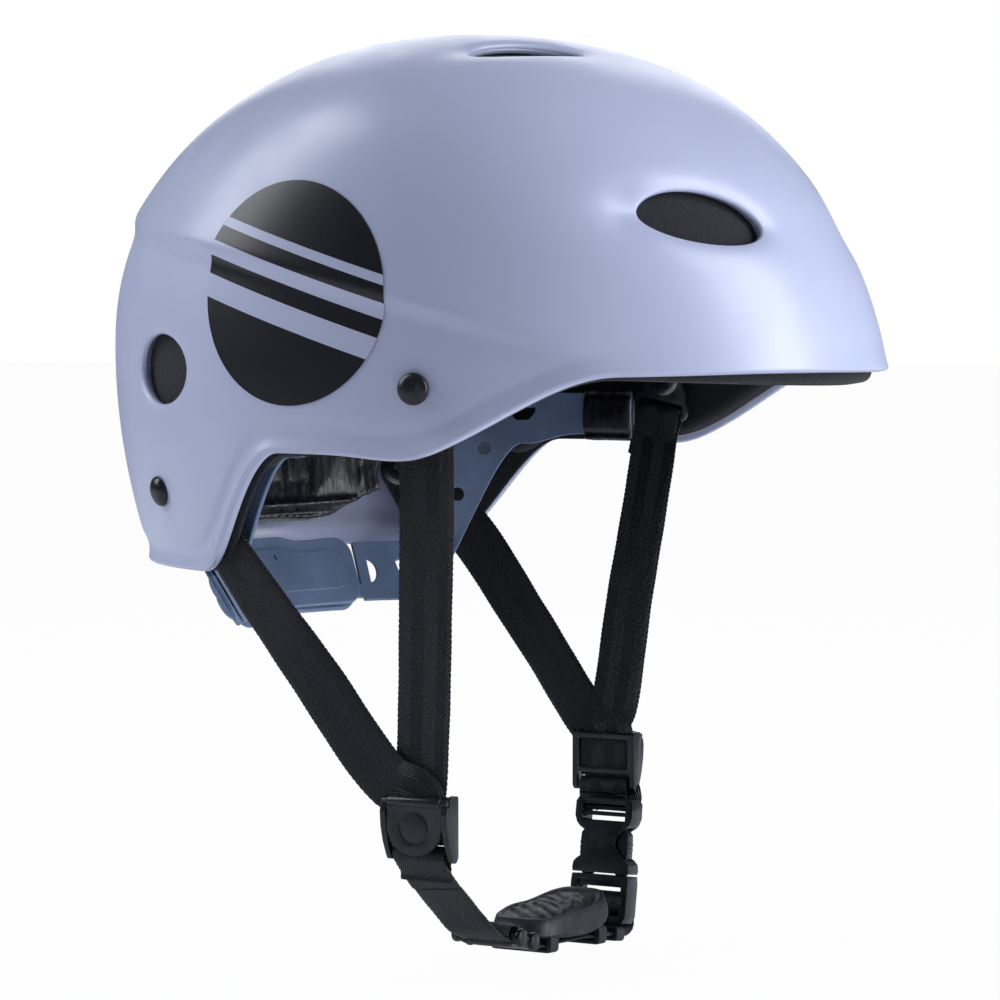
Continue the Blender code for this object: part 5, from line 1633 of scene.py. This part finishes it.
def settle(pad, held):
    """Inflate a pad's cover as cloth, holding some vertices, and cap how far it may move."""
    rest = vertex_values(pad.data)
    group = pad.vertex_groups.new(name="held")
    group.add([int(i) for i in np.nonzero(held)[0]], 1.0, "REPLACE")
    cloth = pad.modifiers.new("cloth", "CLOTH")
    settings = cloth.settings
    settings.use_pressure = True
    settings.uniform_pressure_force = 4
    settings.tension_stiffness = 12
    settings.compression_stiffness = 12
    settings.bending_stiffness = 0.4
    settings.quality = 4
    settings.vertex_group_mass = "held"
    settings.effector_weights.gravity = 0
    cloth.collision_settings.use_collision = False
    for number in range(1, 21):
        bpy.context.scene.frame_set(number)
    moved = vertex_values(evaluated(pad)) - rest
    length = np.linalg.norm(moved, axis=1, keepdims=True)
    moved *= np.minimum(1, PAD_SETTLE / np.maximum(length, 1e-9))
    pad.modifiers.clear()
    bpy.context.scene.frame_set(1)
    set_vertices(pad.data, rest + moved)


def subdivided(pad):
    pad.modifiers.new("finer", "SUBSURF").levels = 1
    mesh = evaluated(pad)
    pad.modifiers.clear()
    return mesh


def wrinkles(points, stretch, scale, seed):
    """Smooth pseudo-random waves, long in the direction that stretch flattens."""
    total = np.zeros(len(points))
    generator = np.random.default_rng(seed)
    for octave in range(5):
        way = unit(generator.normal(size=(3, 3))) * np.array(stretch) * scale * 1.6 ** octave
        waves = np.sin(points @ way.T * 2 * math.pi + generator.uniform(0, 6.28, 3))
        total += waves.prod(1) * 0.7 ** octave
    return total


def build_pad(node_name, body, middle, profile, stretch=(1, 1, 0.12)):
    """Pad blown up as cloth, then given its seams and creases by the height function profile."""
    name = f"cushion_{node_name}"
    pad = pad_copy(node_name, name)
    middle = np.array(middle) * MM
    outward = unit(vertex_values(pad.data) - middle)
    settle(pad, (vertex_values(pad.data, "normal") * outward).sum(1) > 0.55)
    mesh = subdivided(pad)
    points, normals = vertex_values(mesh), vertex_values(mesh, "normal")
    towards_head = -unit(points - middle)
    share = np.clip((normals * towards_head).sum(1), 0, 1) ** 0.7
    crease = wrinkles(points, stretch, 110, len(node_name)) * 0.10 * MM
    height = profile(points) + crease
    set_vertices(mesh, points + normals * (height * share)[:, None])
    bpy.data.objects.remove(pad)
    add_object(name, shade(mesh, 70), body, "black_leatherette", [node_name])


def ridge(value, centre, width, height):
    return height * np.exp(-((value - centre) / width) ** 2)


def rear_pad_profile(points):
    """Two piped folds near the foot that sag towards the middle, over a flat stitched field."""
    sag = 2.5 * MM * np.cos(np.clip(points[:, 1] / (75 * MM), -1, 1) * math.pi / 2)
    folds = ((-137, 1.5, 1.3), (-140.5, 1.2, -1.0), (-144, 1.7, 1.2))
    return sum(ridge(points[:, 2] + sag, *(value * MM for value in fold)) for fold in folds)


def border_profile(low, high, border=6):
    """A sewn border inside a pad's top and bottom edges, given in millimetres."""
    def profile(points):
        rows = ((low + border, 0.9, -0.9), (high - border, 0.9, -0.9), ((low + high) / 2, 5, 0.5))
        return sum(ridge(points[:, 2], *(value * MM for value in row)) for row in rows)
    return profile


def crown_profile(points):
    reach = np.linalg.norm(points[:, :2], axis=1)
    spokes = np.abs(np.sin(1.5 * np.arctan2(points[:, 1], points[:, 0])))
    cross = -0.8 * MM * np.exp(-(spokes * reach / (1.0 * MM)) ** 2)
    return cross + ridge(reach, 18 * MM, 0.9 * MM, -0.9 * MM)


def build_pads():
    axis = (0, 0, -95)
    build_pad("rear_pad", "helmet", (-20, 0, -125), rear_pad_profile)
    build_pad("brow_pad", "helmet", axis, border_profile(-86, -56), (1, 1, 0.3))
    for _, word in SIDES:
        build_pad(f"side_pad_{word}", "helmet", axis, border_profile(-80, -42), (1, 1, 0.3))
        low, high = (corner.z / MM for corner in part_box(f"temple_pad_{word}"))
        build_pad(f"temple_pad_{word}", f"{word}_arm", (-17, 0, -106), border_profile(low, high, 3))
    build_pad("crown_pad", "helmet", (0, 0, 60), crown_profile, (1, 1, 1))


# ---------------------------------------------------------------- stage, light and camera

FLOOR_REACH = 30.0
FLOOR_GLOW = 0.975
WORLD_LIGHT = 0.15
LIGHT_AIM = Vector((0, 0, -0.10))
# azimuth, elevation, distance, width and height, power
LIGHTS = {
    "key_right": (100, 16, 1.2, (0.6, 1.2), 15),
    "key_left": (-66, 36, 1.2, (0.5, 1.0), 8),
    "front_fill": (20, 2, 1.6, (0.8, 0.8), 0.7),
    "back": (207, 30, 1.6, (1.0, 1.0), 5),
}
CAMERA_AZIMUTH, CAMERA_ELEVATION = 27.0, 2.8
CAMERA_DISTANCE = 1.10
CAMERA_LENS = 115.56
CAMERA_DROP = 0.7 * MM


def plain_white(tree, kind):
    return node(tree, kind, None, {"Color": (1, 1, 1, 1), "Strength": 1.0}).outputs[0]


def surface_mix(tree, share, first, second, output):
    """Two shaders mixed by a share and led to the tree's output."""
    mix = node(tree, "ShaderNodeMixShader", None, {0: share})
    tree.links.new(first, mix.inputs[1])
    tree.links.new(second, mix.inputs[2])
    tree.links.new(mix.outputs[0], tree.nodes[output].inputs["Surface"])


def camera_ray(tree):
    return node(tree, "ShaderNodeLightPath").outputs["Is Camera Ray"]


def build_stage():
    """Pale floor under the lowest strap and a white surround that lights the object only softly."""
    drop = CAD_BOX[0].z - 1.5 * MM
    corners = [(x * FLOOR_REACH, y * FLOOR_REACH, drop) for x, y in ((-1, -1), (1, -1), (1, 1), (-1, 1))]
    mesh = mesh_of("floor", corners, [(0, 1, 2, 3)])
    linked("floor", mesh)
    material, tree, shader = new_material("floor", (0.93, 0.93, 0.95), 0.8)
    mesh.materials.append(material)
    share = math_node(tree, "MULTIPLY", camera_ray(tree), FLOOR_GLOW)
    surface_mix(tree, share, shader.outputs[0], plain_white(tree, "ShaderNodeEmission"), "Material Output")

    world = bpy.data.worlds.new("studio")
    bpy.context.scene.world = world
    world.use_nodes = True
    tree = world.node_tree
    back = tree.nodes["Background"]
    back.inputs["Color"].default_value = (0.78, 0.84, 1.0, 1)
    back.inputs["Strength"].default_value = WORLD_LIGHT
    seen = plain_white(tree, "ShaderNodeBackground")
    surface_mix(tree, camera_ray(tree), back.outputs[0], seen, "World Output")


def aimed(obj, azimuth, elevation, distance, target):
    """Place an object round a target, with azimuth 0 at -Y, and turn it to face the target."""
    a, e = math.radians(azimuth), math.radians(elevation)
    away = Vector((math.sin(a) * math.cos(e), -math.cos(a) * math.cos(e), math.sin(e)))
    obj.location = target + away * distance
    obj.rotation_euler = (-away).to_track_quat("-Z", "Y").to_euler()
    return obj


def build_lights():
    for name, (azimuth, elevation, distance, size, power) in LIGHTS.items():
        light = bpy.data.lights.new(name, "AREA")
        light.shape = "RECTANGLE"
        light.size, light.size_y = size
        light.energy = power
        light.color = (0.92, 0.95, 1.0)
        aimed(linked(name, light), azimuth, elevation, distance, LIGHT_AIM)


def build_camera():
    camera = bpy.data.cameras.new("camera")
    camera.lens = CAMERA_LENS
    camera.sensor_width = 36
    target = Vector((0, 0, (CAD_BOX[0].z + CAD_BOX[1].z) / 2 - CAMERA_DROP))
    obj = aimed(linked("camera", camera), CAMERA_AZIMUTH, CAMERA_ELEVATION, CAMERA_DISTANCE, target)
    bpy.context.scene.camera = obj


# ---------------------------------------------------------------- the whole helmet

FINISH = {
    "white_abs": abs_material(),
    "black_eva": foam_material(),
    "black_leatherette": leather_material(),
    "black_webbing": webbing_material(),
    "black_plastic": moulded_material("black_plastic_parts", (0.0055, 0.0055, 0.0085), 0.30),
    "blue_grey_plastic": moulded_material("cradle_plastic", (0.13, 0.185, 0.30), 0.40),
    "black_rubber": rubber_material(),
    "pale_plastic": moulded_material("dial_plate_plastic", (0.42, 0.45, 0.52), 0.4),
    "thread": thread_material(),
    "steel": metal_material("blackened_steel", (0.16, 0.16, 0.18), 0.32),
    "decal": decal_material(),
}


def finish_cad_nodes():
    """Give every CAD node that stays visible its slot's material."""
    for entry in frame["record"]["subparts"]:
        mesh = frame["nodes"][entry["node"]].data
        mesh.materials.clear()
        mesh.materials.append(FINISH[entry["material_slot"]])


finish_cad_nodes()
for BUILD in (
    build_shell, build_liner, build_painted_shade_strip, build_decals, build_upper_straps, build_lower_straps,
    build_anchor_hardware, build_dividers, build_buckle, build_slider, build_keeper, build_chin_pad,
    build_arms, build_dial_housing, build_knob, build_pads, build_stage, build_lights, build_camera,
):
    BUILD()
bpy.context.scene.view_settings.view_transform = "Standard"
